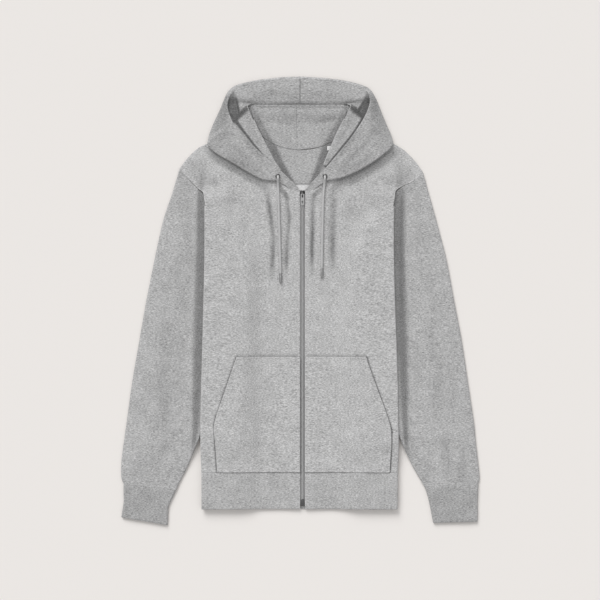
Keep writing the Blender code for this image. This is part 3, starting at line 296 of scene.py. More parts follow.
# %% Heights and edges of the laid garment
CLOTH = 2.0
RIB = 2.4
CUFF_RIB = 2.6
FACING = 1.2
GAP = 0.3
SLACK = 1.6
RIB_SLACK = 1.2
SLEEVE_SLACK = 1.0
TURN_STEPS = 7  # points round a fold
ZIP_X = 2.2
ZIP_TOP = 217.0
ZIP_BOTTOM = -400.0
ZIP_HALF_GAP = 5.1
BACK_Z = CLOTH / 2
BACK_OVER_Z = BACK_Z + CLOTH + SLACK
SLEEVE_UNDER_Z = BACK_OVER_Z + CLOTH + 2 * GAP
SLEEVE_RISE = CLOTH + SLEEVE_SLACK
FRONT_UNDER_LOW = BACK_OVER_Z + CLOTH + GAP
FRONT_UNDER_HIGH = SLEEVE_UNDER_Z + SLEEVE_RISE + CLOTH + GAP
FRONT_AT_ZIP = 4.8
FRONT_FLAT = BACK_Z + CLOTH + 0.4
HEM_BOTTOM = -405.0
HEM_SEAM = -334.0
BACK_INSET = 2.0
CLIMB = 50.0
CLIMB_CLEAR = 5.0
FOLD_TOP = 226.0
TUCKED_TOP = 217.0  # no side is tucked in above this height
LEVEL_FROM = 206.0  # from here up the front comes down again to the shoulder
OFF_SLEEVE = (-322.0, -272.0)  # the stretch in which the tucked side climbs onto the sleeve
BESIDE_ZIP = (16.0, 40.0)  # the stretch beside the zip in which the front sinks to its level
BED_NECK = (86.0, 93.5)  # the stretch in which the hood's bed gets its wider foot
BED_SHOULDER = (100.0, 125.0)  # and its widest one, past the shoulder's end of the neck seam
SHOULDER_FROM = 0.48  # share across the front's top edge at which the shoulder begins
HEM_STITCH_Y = -329.6
POCKET_STITCH_Y = -113.6
BODY_EDGE = [
    # (y, left x, right x)
    (-405, -195.2, 187.9), (-334, -195.4, 188.4), (-290, -196.6, 190), (-231.5, -196.8, 189.2),
    (-153.5, -194.9, 188), (-75.5, -192.9, 185.4), (2.5, -191, 182.6), (80.5, -189.2, 180.8),
    (158.5, -188.9, 180.6), (185, -188.9, 181.4), (217, -190.2, 183.8),
]
TUCK = [
    # (y, tucked width)
    (-405, 68), (88, 68), (118, 52), (147, 35), (185, 15), (340, 15),
]
FRONT_TOP = {-1: [
    # (across, x, y)
    (0, -3.4, 216.3), (0.035, -11, 216.4), (0.07, -19, 217), (0.11, -27, 221.3),
    (0.155, -34.5, 227.8), (0.2, -42.5, 236.6), (0.25, -51, 249), (0.305, -61, 265.4),
    (0.365, -71.8, 285.4), (0.43, -84, 309), (0.48, -94.3, 330.6), (0.56, -114, 326.4),
    (0.68, -144, 318.6), (0.8, -176, 310.4), (0.88, -201, 299.3), (0.95, -223, 278.4),
    (1, -237.8, 258.8),
], 1: [
    (0, 7.8, 216.3), (0.035, 15, 216.4), (0.07, 23, 217), (0.11, 31, 221.3), (0.155, 38, 227.8),
    (0.2, 46, 237.6), (0.25, 54.5, 250.5), (0.305, 64, 267.4), (0.365, 74.5, 287.4),
    (0.43, 86, 310), (0.48, 95.5, 330.6), (0.56, 113, 326.4), (0.68, 141, 318.6),
    (0.8, 172, 310.4), (0.88, 197, 297.6), (0.95, 221, 274.4), (1, 237.2, 252.3),
]}
FRONT_SIDE = {-1: [
    # (share of the way up, x, y)
    (0, -188.9, 185), (0.22, -189.6, 203), (0.36, -191.8, 213), (0.48, -199.6, 219),
    (0.68, -217.1, 235.6), (0.88, -231.2, 250.8), (1, -237.8, 258.8),
], 1: [
    (0, 181.4, 185), (0.22, 182.2, 205), (0.36, 185.2, 217.5), (0.48, 196.3, 224.6),
    (0.68, 217.7, 233.6), (0.88, 231.4, 243.4), (1, 237.2, 252.3),
]}
BACK_NECK = [
    # (x, y)
    (-94.3, 331), (-76.7, 320.5), (-41.6, 301.5), (-2.5, 295), (37, 301.5), (76.7, 320.5),
    (95.5, 331),
]
NECK_FOLDS = [
    # (x at the top, x at the foot, foot y, half width, height)
    (-45, -42, 30, 20, 2.6), (43, 40.5, 38, 21, 2.4), (-92, -84, 90, 19, 1.3),
    (88, 82, 96, 19, 1.2),
]
POCKETS = {
    -1: [(-333.2, -163.7), (-290, -166.2), (-241.8, -169.4), (-228, -166), (-172, -147.2),
         (-122, -130.4), (-108.4, -125.7)],
    1: [(-333.2, 171.6), (-298, 173.6), (-253.3, 175.2), (-240, 171.8), (-178, 150), (-129, 132),
        (-109.4, 126)],
}
SHOULDER_ROWS = [0.16, 0.34, 0.5, 0.68, 0.86, 1.0]

# %% [markdown]
# Height of the cloth at any place. A front climbs from the zip onto its tucked side, soft folds
# fall from the neck, and the hood's lower layer lies on the body or on the table.

# %% How high each layer lies
def body_edge(side, y):
    """Where the body's tucked side stands at a height on the page."""
    return at_key(BODY_EDGE, y)[0 if side < 0 else 1]


def neck_folds(x, y):
    """How much the soft folds below the neck raise a front."""
    total = 0.0
    for top_x, foot_x, foot_y, half_wide, high in NECK_FOLDS:
        down = min(1.0, max(0.0, (FOLD_TOP - y) / (FOLD_TOP - foot_y)))
        aside = abs(x - (top_x + (foot_x - top_x) * down)) / half_wide
        if aside < 1.0:
            total += high * (1.0 - ease(0.35, 1.0, down)) * math.cos(aside * math.pi / 2) ** 2
    return total


def front_under(y):
    """Middle of a front's tucked layer: over the sleeve, and lower below it."""
    return FRONT_UNDER_LOW + (FRONT_UNDER_HIGH - FRONT_UNDER_LOW) * ease(*OFF_SLEEVE, y)


def climb(x, y):
    """Share of the way up that a front has climbed onto its tucked side."""
    edge = abs(body_edge(-1 if x < ZIP_X else 1, min(y, TUCKED_TOP)) - ZIP_X)
    top = edge - at_key(TUCK, y)[0] - CLIMB_CLEAR
    return ease(top - CLIMB, top, abs(x - ZIP_X)) * (1.0 - ease(LEVEL_FROM, 227.0, y))


def front_height(x, y):
    """Middle of a front's top layer."""
    away = abs(x - ZIP_X)
    low = FRONT_AT_ZIP + (FRONT_FLAT - FRONT_AT_ZIP) * ease(*BESIDE_ZIP, away)
    high = front_under(y) + CLOTH + SLACK
    folds = neck_folds(x, y) * (1.0 - ease(LEVEL_FROM, 230.0, y))
    return low + (high - low) * climb(x, y) + folds


def shoulder_line(side, x):
    """Top of the body at x: the shoulder, or the back neck seam between the shoulders."""
    if abs(x) < abs(BACK_NECK[0 if side < 0 else -1][0]):
        return at_key(BACK_NECK, x)[0]
    shoulder = [(abs(px), py) for share, px, py in FRONT_TOP[side] if share >= SHOULDER_FROM]
    return at_key(shoulder, abs(x))[0]


def hood_bed(side, x, y):
    """Middle of the hood's lower layer: on the body, or on the table past the shoulders."""
    outer = ease(*BED_NECK, abs(x))
    past = y - shoulder_line(side, x)
    foot = 1.2 + 5.3 * outer + 6.5 * ease(*BED_SHOULDER, abs(x))
    on_body = 1.0 - ease(3.2 * outer - 1.0, foot, past)
    return CLOTH / 2 + 0.1 + (front_height(x, y) + CLOTH / 2 + 1.7 * GAP) * on_body


def half_turn(start, end_z, way, count):
    """Points of a half circle in a vertical plane, from a layer round to the one at end_z."""
    x, y, z = start
    radius = (z - end_z) / 2
    points = []
    for i in range(1, count):
        angle = math.pi * i / count
        reach = abs(radius) * math.sin(angle)
        points.append((x + way[0] * reach, y + way[1] * reach, z - radius * (1 - math.cos(angle))))
    return points


def front_column(side, share, y):
    """Where a front's column of points stands at y, from its zip edge to its folded side."""
    start = ZIP_X + side * ZIP_HALF_GAP
    turn = body_edge(side, y) - side * (CLOTH + SLACK / 2)
    return start + (turn - start) * share


# %% [markdown]
# A cage of a few hundred points holds each piece's shape. Cloth needs far more, so the cage is
# cut finer along smooth curves in both directions. The curve at a point leans along the line
# between its neighbours, which keeps long flat cells flat beside a tight fold.

# %% Cut a cage finer
def between(points, size, ring=False):
    """More rows between the rows of a grid, no more than size apart."""
    if ring:
        points = np.concatenate([points[-1:], points, points[:2]])
    step = np.diff(points, axis=0)
    gap = np.maximum(np.linalg.norm(step, axis=2, keepdims=True), 1e-6)
    lean = np.full_like(points, np.nan)
    lean[1:-1] = (points[2:] - points[:-2]) / (gap[:-1] + gap[1:])
    lean[:-1] = np.where(np.isnan(lean[:-1]), step / gap, lean[:-1])
    lean[1:] = np.where(np.isnan(lean[1:]), step / gap, lean[1:])
    first, last = (1, len(points) - 2) if ring else (0, len(points) - 1)
    rows = []
    for i in range(first, last):
        count = max(1, math.ceil(np.nanmax(gap[i]) / size - 0.01))
        rows.append(points[i])
        for k in range(1, count):
            rows.append(hermite(points[i], points[i + 1], lean[i] * gap[i],
                                lean[i + 1] * gap[i], k / count))
    return np.array(rows if ring else rows + [points[last]])


def finer(cage, across, along, ring=False):
    """The cage cut to cells of about across by along millimetres; None leaves a corner out."""
    points = np.array([[point or (np.nan,) * 3 for point in row] for row in cage], float)
    points = between(points.swapaxes(0, 1), across, ring).swapaxes(0, 1)
    return between(points, along)


# %% [markdown]
# Cloth that was worn and smoothed flat keeps soft creases. Each is drawn as a line with
# a width and a depth, deepest in its middle and uneven along its length, with a low ridge on
# one side where the cloth was pushed. A slow unevenness keeps the flat parts from looking cast.
# Creases also darken the cloth's colour as painted shade. More painted shade is drawn in the
# same way where cloth runs in under another layer, darker than a stack this thin shades by
# itself, and broadly where a part would otherwise render too bright. It goes to a point value
# that the finish reads.

# %% Press creases into a grid
CREASE_SHADE = 0.085  # times the square of a crease's depth, the share of the cloth's colour darkened as painted shade


def beside_line(x, y, points):
    """Distance from a line, distance to its right and share of its length, at each place."""
    nearest = np.full(x.shape, 1e9)
    beside = np.zeros(x.shape)
    share = np.zeros(x.shape)
    total = sum(math.dist(a, b) for a, b in zip(points, points[1:]))
    walked = 0.0
    for (ax, ay), end in zip(points, points[1:]):
        long, way = heading((ax, ay), end)
        along = (x - ax) * way[0] + (y - ay) * way[1]
        aside = (x - ax) * way[1] - (y - ay) * way[0]
        held = np.clip(along, 0.0, long)
        away = np.hypot(aside, along - held)
        closer = away < nearest
        nearest = np.where(closer, away, nearest)
        beside = np.where(closer, aside, beside)
        share = np.where(closer, (walked + held) / total, share)
        walked += long
    return nearest, beside, share


def crease(x, y, line):
    """How far one crease lifts the cloth at each place, and the shade it paints into its colour.
    """
    points, half_wide, depth, ridge = line
    nearest, beside, share = beside_line(x, y, points)
    fade = np.clip(4.0 * share, 0.0, 1.0) * np.clip(4.0 * (1.0 - share), 0.0, 1.0)
    uneven = 0.82 + 0.18 * np.sin(share * 9.0 + points[0][0])
    trough = np.exp(-((nearest / half_wide) ** 2))
    hump = np.exp(-(((beside - 1.9 * half_wide) / (1.2 * half_wide)) ** 2))
    hump *= nearest < 9 * half_wide
    # Painted shade in the crease's trough, darker the deeper the crease is.
    shade = fade * uneven * trough * max(depth, 0.0) ** 2 * CREASE_SHADE
    return fade * uneven * (ridge * hump - depth * trough), shade


def painted_shade_under(x, y, points):
    """Painted shade in the colour at each place beside an edge that overhangs it."""
    nearest, _, share = beside_line(x, y, [point[:2] for point in points])
    total = np.cumsum([0.0] + [math.dist(a[:2], b[:2]) for a, b in zip(points, points[1:])])
    half_wide = np.interp(share, total / total[-1], [point[2] for point in points])
    dark = np.interp(share, total / total[-1], [point[3] for point in points])
    return dark * np.exp(-((nearest / half_wide) ** 4))


def faces_up(grid):
    """1 on the upper layer of a laid piece, -1 on the layer turned under it."""
    down, over = np.gradient(grid, axis=0), np.gradient(grid, axis=1)
    normal = np.cross(over, down)
    lean = np.nan_to_num(normal[..., 2] / np.maximum(np.linalg.norm(normal, axis=2), 1e-9))
    one, other = grid[..., 2][lean > 0.5], grid[..., 2][lean < -0.5]
    turned = other.size and not (one.size and one.max() > other.max())
    return -lean if turned else lean


def settle(grid, lines, painted_shades, rough, seed=0.0, lowest=1.0):
    """Creases and unevenness pressed into the upper layer, and the shade painted into its colour.

    Nothing is pressed below the lowest height that the layer under it leaves free.
    """
    x, y = np.nan_to_num(grid[..., 0]), np.nan_to_num(grid[..., 1])
    seen = np.clip(faces_up(grid), 0.0, 1.0)
    move, painted_shade = np.zeros(x.shape), np.zeros(x.shape)
    for line in lines:
        lift, deep = crease(x, y, line)
        move += lift
        painted_shade += deep
    # Painted shade beside overhanging edges, of which the darkest is kept.
    for line in painted_shades:
        painted_shade = np.maximum(painted_shade, painted_shade_under(x, y, line))
    waves = np.array([noise.noise((a * 0.021, b * 0.013, seed)) + 0.4 * noise.noise(
        (a * 0.06, b * 0.045, seed + 9.0)) for a, b in zip(x.ravel(), y.ravel())])
    floor = np.maximum(np.minimum(grid[..., 2], lowest), 1.0)
    grid = grid.copy()
    grid[..., 2] += move * seen + rough * waves.reshape(x.shape) * (0.25 + 0.75 * seen) * (
        grid[..., 2] > 2.5)
    grid[..., 2] = np.maximum(grid[..., 2], floor)
    return np.dstack([grid, np.clip(painted_shade, 0.0, 0.8) * (seen > 0.0)])


# %% [markdown]
# A piece of cloth is a wall of even thickness about its grid. Its open edges are rounded, as a
# folded or overlocked edge is, by a few rings between the two faces.

# %% Give a grid its thickness
EDGE_STEPS = 4


def wall(name, grid, thick, ring=False, inset=1.0):
    """A closed cloth wall about a grid, with a map of its lengths across and along."""
    painted_shade, grid = grid[..., 3:], grid[..., :3]
    rows, columns = grid.shape[:2]
    whole = ~np.isnan(grid[..., 0])
    number = np.cumsum(whole.ravel()).reshape(whole.shape) - 1
    wide = columns if ring else columns - 1
    quads, spans = [], []
    for i in range(rows - 1):
        for j in range(wide):
            k = (j + 1) % columns
            if whole[i, j] and whole[i, k] and whole[i + 1, j] and whole[i + 1, k]:
                quads.append((number[i, j], number[i + 1, j], number[i + 1, k], number[i, k]))
                spans.append((i, j))
    quads = np.array(quads)
    points = grid[whole]
    diagonal_a = points[quads[:, 2]] - points[quads[:, 0]]
    diagonal_b = points[quads[:, 3]] - points[quads[:, 1]]
    square = np.cross(diagonal_a, diagonal_b)
    normal = np.zeros_like(points)
    centre = points[quads].mean(axis=1)
    outward = np.zeros_like(points)
    for k in range(4):
        np.add.at(normal, quads[:, k], square)
        np.add.at(outward, quads[:, k], points[quads[:, k]] - centre)
    normal /= np.maximum(np.linalg.norm(normal, axis=1, keepdims=True), 1e-9)
    outward -= normal * (outward * normal).sum(axis=1, keepdims=True)
    outward /= np.maximum(np.linalg.norm(outward, axis=1, keepdims=True), 1e-9)

    # lengths across and along, from the middle column and the first row
    after = grid[:, :1] if ring else grid[:, -1:]
    over = np.linalg.norm(np.diff(grid, axis=1, append=after), axis=2)
    over = np.cumsum(np.nan_to_num(np.nanmean(np.where(whole, over, np.nan), axis=0)))
    over = np.r_[0.0, over]
    down = np.linalg.norm(np.diff(grid, axis=0, append=grid[-1:]), axis=2)
    down = np.r_[0.0, np.cumsum(np.nan_to_num(np.nanmean(down, axis=1)))]
    spans = np.array(spans)
    i, j = spans[:, 0], spans[:, 1]
    map_corners = np.stack([
        np.stack([over[j], down[i]], axis=1), np.stack([over[j], down[i + 1]], axis=1),
        np.stack([over[j + 1], down[i + 1]], axis=1), np.stack([over[j + 1], down[i]], axis=1),
    ], axis=1)

    # the open edges, as directed pairs with the map's value at each end
    edges = {}
    for quad, marks in zip(quads.tolist(), map_corners):
        for k in range(4):
            a, b = quad[k], quad[(k + 1) % 4]
            if (b, a) in edges:
                del edges[(b, a)]
            else:
                edges[(a, b)] = (marks[k], marks[(k + 1) % 4])
    rim = sorted({a for pair in edges for a in pair})
    at_rim = {a: n for n, a in enumerate(rim)}
    half = thick / 2
    points[rim] -= outward[rim] * half * inset
    layers = [points + normal * half, points - normal * half]
    for k in range(1, EDGE_STEPS):
        angle = math.pi * k / EDGE_STEPS
        layers.append(points[rim] + normal[rim] * half * math.cos(angle)
                      + outward[rim] * half * math.sin(angle))
    count = len(points)

    def ring_index(a, k):
        if k == 0:
            return a
        if k == EDGE_STEPS:
            return count + a
        return 2 * count + (k - 1) * len(rim) + at_rim[a]

    faces = [tuple(quad) for quad in quads.tolist()]
    faces += [tuple(quad[::-1]) for quad in (quads + count).tolist()]
    corners = [map_corners.reshape(-1, 2), map_corners[:, ::-1].reshape(-1, 2)]
    for (a, b), (mark_a, mark_b) in edges.items():
        for k in range(EDGE_STEPS):
            faces.append((ring_index(b, k), ring_index(a, k), ring_index(a, k + 1),
                          ring_index(b, k + 1)))
            corners.append([mark_b, mark_a, mark_a, mark_b])
    piece = keep(name, to_world(np.concatenate(layers)), faces, np.concatenate(corners))
    # The shade painted into the cloth's colour becomes a point value, on both faces and round the
    # edges.
    if painted_shade.size:
        deep = painted_shade[whole].ravel()
        deep = np.concatenate([deep, deep] + [deep[rim]] * (EDGE_STEPS - 1))
        piece.data.attributes.new("painted_shade", "FLOAT", "POINT").data.foreach_set(
            "value", deep.astype(np.float32))
    return piece


def lay_cloth(name, cage, cells, lines, painted_shades=(), thick=CLOTH, ring=False, inset=1.0, **press):
    """A piece from its cage: cut into cells of a size, creased with painted shade, and given its
    thickness.
    """
    grid = settle(finer(cage, *cells, ring), lines, painted_shades, **press)
    piece = wall(name, grid, thick, ring, inset)
    print(name, "has", len(piece.data.polygons), "faces")
    return piece


# %% [markdown]
# The two fronts carry what is seen first. Each is cut as one panel from zip to side and from
# hem to shoulder. Close columns beside the zip follow its stitch line, so the cloth can dip
# under the thread. The creases are the ones that hang from the neck beside the cords, and the
# faint ones that smoothing by hand leaves on the belly.

# %% Fronts
STITCH_IN = 5.2  # from a front's zip edge to its row of stitches
STITCH_DIP = 0.35
DIP = (2.2, STITCH_DIP, 0.0)  # half width, depth and ridge of the dip under a row of stitches
POCKET_HEAD = -107.2  # the painted shade along a pocket's top edge
EXTRA_SHARES = (0.0105, 0.0205, 0.0278, 0.035, 0.046)
PANEL_ROWS = [
    -333.4, -331.6, -329.6, -327.6, -322, -298, -276, -240, -175, -109, -50, 5, 45, 75, 100, 125,
    153, 185,
]
FRONT_CREASES = {-1: [
    # (points of its line, half width, depth, ridge)
    ([(-69, 226), (-60.5, 172), (-54.5, 127.3), (-56, 84), (-57.6, 36)], 5, 2.65, 0.7),
    ([(-24.6, 212), (-27.8, 201.4), (-23.3, 156.6), (-27.8, 111.7), (-30, 36)], 4.2, 2.5, 0.6),
    ([(-120, 262), (-108, 190), (-104, 120)], 11, 0.5, 0.3),
    ([(-186, 150), (-150, 128), (-118, 118)], 12, 0.7, 0.4),
    ([(-188, 96), (-150, 84), (-126, 60)], 13, 0.5, 0.3),
    ([(-150, 10), (-96, -8), (-40, 4)], 15, 0.45, 0.3),
    ([(-176, -60), (-132, -44), (-100, -52)], 13, 0.45, 0.3),
    ([(-95, -60), (-88, -16), (-92, 22)], 14, 0.4, 0.25),
], 1: [
    ([(21.5, 212), (22.6, 150), (20.6, 100), (21.5, 44)], 4.6, 2.8, 0.6),
    ([(64.5, 228), (62.5, 180), (60.6, 120), (61.7, 50)], 6.5, 2.4, 0.6),
    ([(118, 258), (104, 190), (101, 126)], 11, 0.5, 0.3),
    ([(176, 158), (142, 134), (108, 122)], 12, 0.7, 0.4),
    ([(178, 84), (146, 70), (118, 78)], 13, 0.5, 0.3),
    ([(40, -12), (92, 2), (140, -14)], 15, 0.45, 0.3),
    ([(168, -48), (128, -60), (92, -50)], 13, 0.45, 0.3),
    ([(84, 30), (90, -16), (84, -56)], 14, 0.4, 0.25),
]}
POCKET_CREASES = {-1: [
    ([(-70, -322), (-84, -268), (-78, -216)], 11, 0.6, 0.3),
    ([(-128, -314), (-112, -276), (-114, -240)], 11, 0.5, 0.3),
    ([(-46, -196), (-72, -172), (-104, -164)], 12, 0.4, 0.2),
], 1: [
    ([(120, -322), (84, -292), (58, -250)], 11, 0.7, 0.4),
    ([(146, -296), (118, -262), (108, -226)], 11, 0.5, 0.3),
    ([(36, -178), (66, -166), (92, -184)], 12, 0.4, 0.2),
]}
FRONT_PAINTED_SHADES = {
    # Painted shade beside the hood's lower edge and its ends, down the body's side, and a broad
    # darkening below each shoulder: (x, y, half width, darkness).
    -1: [
        [(-192, 303, 7, 0), (-176, 290, 9, 0.3), (-160, 277, 9.5, 0.38), (-130, 260, 10, 0.4),
         (-104, 244, 9.5, 0.36), (-80, 230, 8.5, 0.32), (-66, 219, 7, 0.16), (-62, 200, 6, 0)],
        [(-46, 229, 4, 0.1), (-38, 217, 5, 0.4), (-29, 206, 4.5, 0.5), (-27, 188, 4, 0.1)],
        [(-190, 286, 9, 0), (-194, 258, 8, 0.2), (-196, 222, 7, 0.44)],
        [(-206, 258, 16, 0.12), (-188, 230, 18, 0.15), (-160, 222, 18, 0.09), (-120, 216, 14, 0)],
    ],
    1: [
        [(193, 300, 7, 0), (180, 291, 10, 0.36), (158, 274, 11.5, 0.44), (130, 257, 12, 0.46),
         (100, 241, 11.5, 0.42), (72, 230, 9.5, 0.36), (62, 218, 7, 0.16), (63, 200, 6, 0)],
        [(48, 230, 4, 0.1), (36, 217, 5, 0.4), (25, 207, 4.5, 0.5), (22, 188, 4, 0.1)],
        [(188, 276, 12, 0.1), (193, 252, 10, 0.26), (192, 216, 9, 0.44)],
        [(206, 250, 14, 0.18), (184, 228, 22, 0.21), (150, 212, 24, 0.14), (112, 186, 24, 0.1),
         (92, 130, 20, 0.07), (84, 90, 16, 0)],
    ],
}
# A thin dark line of painted shade runs along a pocket's sewn edges, from the seam over the hem up
# to its top edge.
SEAM_SHADE = (2.1, 0.55)


def painted_seam_shade(points, dark=SEAM_SHADE[1]):
    """Painted shade as thin as a seam along some points."""
    return [(x, y, SEAM_SHADE[0], dark) for x, y in points]


def front_shares(side):
    """The front's columns, as shares of the way from the zip to the side."""
    return sorted({row[0] for row in FRONT_TOP[side]} | set(EXTRA_SHARES))


def front_cage(side):
    """A front's points: its top layer up to neck and shoulder, and its side tucked behind."""
    across = front_shares(side)
    edge_x = ZIP_X + side * ZIP_HALF_GAP
    reach = CLOTH + SLACK / 2
    rows = []
    for y in PANEL_ROWS:
        row = []
        for share in across:
            x = front_column(side, share, y)
            row.append((x, y, front_height(x, y)))
        low = front_under(y)
        turn_x, _, turn_z = row[-1]
        row += half_turn((turn_x, y, turn_z), low, (side, 0.0), TURN_STEPS)
        tucked = at_key(TUCK, y)[0]
        for share in (0.0, 0.3, 0.65, 1.0):
            row.append((turn_x - side * max(1.0, tucked - reach) * share, y, low))
        rows.append(row)
    tuck_columns = len(rows[0]) - len(across)
    base_y = PANEL_ROWS[-1]
    corner = front_column(side, 1.0, base_y)
    side_line = [(0.0, corner, base_y)] + FRONT_SIDE[side][1:]
    plan = patch(
        lambda u: (edge_x + (corner - edge_x) * u, base_y),
        lambda u: at_key(FRONT_TOP[side], u),
        lambda v: (edge_x, base_y + (FRONT_TOP[side][0][2] - base_y) * v),
        lambda v: at_key(side_line, v),
        across,
        SHOULDER_ROWS,
    )
    for row in plan:
        rows.append([(x, y, front_height(x, y)) for x, y in row] + [None] * tuck_columns)
    return rows


for side, word in SIDES:
    stitched = ZIP_X + side * (ZIP_HALF_GAP + STITCH_IN)
    # the dips run on past the cloth at both ends, because a crease fades toward its ends
    dips = [([(stitched, -345.0), (stitched, 226.0)], *DIP),
            ([(ZIP_X, HEM_STITCH_Y), (side * 230.0, HEM_STITCH_Y)], *DIP)]
    # The line round each pocket and along its top edge, on which a thin shade is painted.
    round_pocket = [(x + side * 1.2, y) for y, x in POCKETS[side]]
    round_pocket += [(round_pocket[-1][0] - side * 1.0, POCKET_HEAD),
                     (side * 10.0 + ZIP_X, POCKET_HEAD)]
    lay_cloth(f"front_{word}_cloth", front_cage(side), (3.3, 4.2),
              FRONT_CREASES[side] + POCKET_CREASES[side] + dips,
              FRONT_PAINTED_SHADES[side] + [painted_seam_shade(round_pocket)],
              inset=0.5, rough=0.25, seed=1.7 * side, lowest=BACK_Z + CLOTH + 0.05)

# %% [markdown]
# The back lies flat under everything, with both sides folded over onto it. Its brushed inside
# shows only in the small gap at the throat. Its outside rests on the table.

# %% Back
BACK_ROWS = [
    -333.4, -329.6, -325, -290, -240, -180, -120, -60, 0, 45, 90, 118, 147, 172,
]


def back_top(share):
    """Top of the back panel from the left shoulder's tip to the right one's."""
    left, right = ([(px, py) for part, px, py in FRONT_TOP[side] if part >= SHOULDER_FROM]
                   for side in (-1, 1))
    line = left[::-1] + BACK_NECK[1:-1] + right
    return at_step(line, share * (len(line) - 1))


def back_cage():
    """The back's points, flat on the table, with both sides folded up and inward."""
    across = [i / 18 for i in (0, 2, 4, 5, 6, 7, 8, 9, 10, 11, 12, 13, 14, 16, 18)]
    reach = CLOTH + SLACK / 2
    rows = []
    for y in BACK_ROWS:
        tucked = at_key(TUCK, y)[0]
        turns = {}
        for side in (-1, 1):
            turn_x = body_edge(side, y) - side * (BACK_INSET + reach)
            over = [
                (turn_x - side * max(1.0, tucked - reach - BACK_INSET) * share, y, BACK_OVER_Z)
                for share in (1.0, 0.5, 0.0)
            ]
            arc = half_turn((turn_x, y, BACK_OVER_Z), BACK_Z, (side, 0.0), TURN_STEPS)
            turns[side] = (turn_x, over + arc)
        left_x, left_turn = turns[-1]
        right_x, right_turn = turns[1]
        middle = [(left_x + (right_x - left_x) * share, y, BACK_Z) for share in across]
        rows.append(left_turn + middle + right_turn[::-1])
    blank = [None] * len(left_turn)

    def side_line(side, turn_x):
        inset = [(share, x - side * BACK_INSET * (1 - share), y)
                 for share, x, y in FRONT_SIDE[side][1:]]
        return [(0.0, turn_x, BACK_ROWS[-1])] + inset

    left_side, right_side = side_line(-1, left_x), side_line(1, right_x)
    plan = patch(
        lambda u: (left_x + (right_x - left_x) * u, BACK_ROWS[-1]),
        back_top,
        lambda v: at_key(left_side, v),
        lambda v: at_key(right_side, v),
        across,
        SHOULDER_ROWS,
    )
    for row in plan:
        rows.append(blank + [(x, y, BACK_Z) for x, y in row] + blank)
    return rows


BACK_LIFTS = [
    # Shallow creases that lift the back a little off the table.
    ([(-120, 150), (-96, 40), (-104, -60)], 9, -0.7, 0),
    ([(96, 170), (112, 60), (98, -40)], 9, -0.7, 0),
    ([(-60, -150), (10, -170), (84, -146)], 10, -0.6, 0),
    ([(-130, -230), (-70, -262), (0, -250)], 9, -0.6, 0),
    ([(30, 230), (6, 150), (20, 60)], 9, -0.5, 0),
]
back = lay_cloth("back_cloth", back_cage(), (5.2, 6.0), BACK_LIFTS, rough=0.0)
print("back is", round(back.dimensions.x, 3), "m wide as it lies")

# %% [markdown]
# Each sleeve is a flattened tube. Where it passes the body it climbs between the tucked layers.
# The rings need the same stops across at every height, set by where the body's edge falls.

# %% Sleeves
SLEEVES = {-1: [
    # (outer x, outer y, inner x, inner y, share of the armhole's curve)
    (-346.9, -356, -244.2, -369.2, 0), (-352.2, -344, -238, -354, 0),
    (-351.8, -312, -223, -325, 0), (-346.5, -270, -203, -278, 0), (-341, -231.5, -189, -240, 0),
    (-330.2, -153.5, -172, -168, 0), (-316.6, -75.5, -156, -92, 0), (-302.9, 2.5, -141, -18, 0),
    (-287.3, 80.5, -128.5, 48, 0), (-270, 158.5, -124.5, 76, 0.15),
    (-254.2, 206.1, -124, 82.5, 0.5), (-238.3, 258.2, -124, 88, 1),
], 1: [
    (345.8, -354.6, 240.6, -363.4, 0), (348.3, -344, 233.5, -350, 0), (345.2, -312, 216, -320, 0),
    (340.5, -270, 195, -274, 0), (336.7, -231.5, 182, -236, 0), (325, -153.5, 165, -166, 0),
    (313.3, -75.5, 149, -92, 0), (298.6, 2.5, 134.5, -18, 0), (284, 80.5, 122.5, 48, 0),
    (263, 161.7, 119, 76, 0.15), (248.3, 213.1, 118.5, 82.5, 0.5), (237.7, 251.7, 118.5, 88, 1),
]}
ARMHOLES = {-1: [
    # (share of its length, x, y)
    (0, -239, 257.6), (0.149, -218.5, 234.2), (0.265, -201, 217.4), (0.328, -192, 208.6),
    (0.428, -180.8, 191.2), (0.674, -157, 146.4), (1, -124, 88),
], 1: [
    (0, 238.6, 250.9), (0.055, 232.6, 242), (0.132, 218.8, 231.8), (0.23, 198, 222.4),
    (0.309, 185.2, 212.4), (0.431, 172.6, 191.2), (0.676, 149.8, 146.4), (1, 118.5, 88),
]}
SLEEVE_STEPS = [0, 0.17, 0.33, 0.5, 1, 2, 3, 3.5, 4, 5, 6, 7, 8, 8.6, 9, 9.5, 10, 10.5, 11]
BODY_STOPS = (
    # (outside the body's edge, least share, most share)
    (24, 0.12, 0.5), (17, 0.17, 0.6), (10, 0.22, 0.7), (2.6, 0.27, 0.8), (-9, 0.36, 0.88),
)
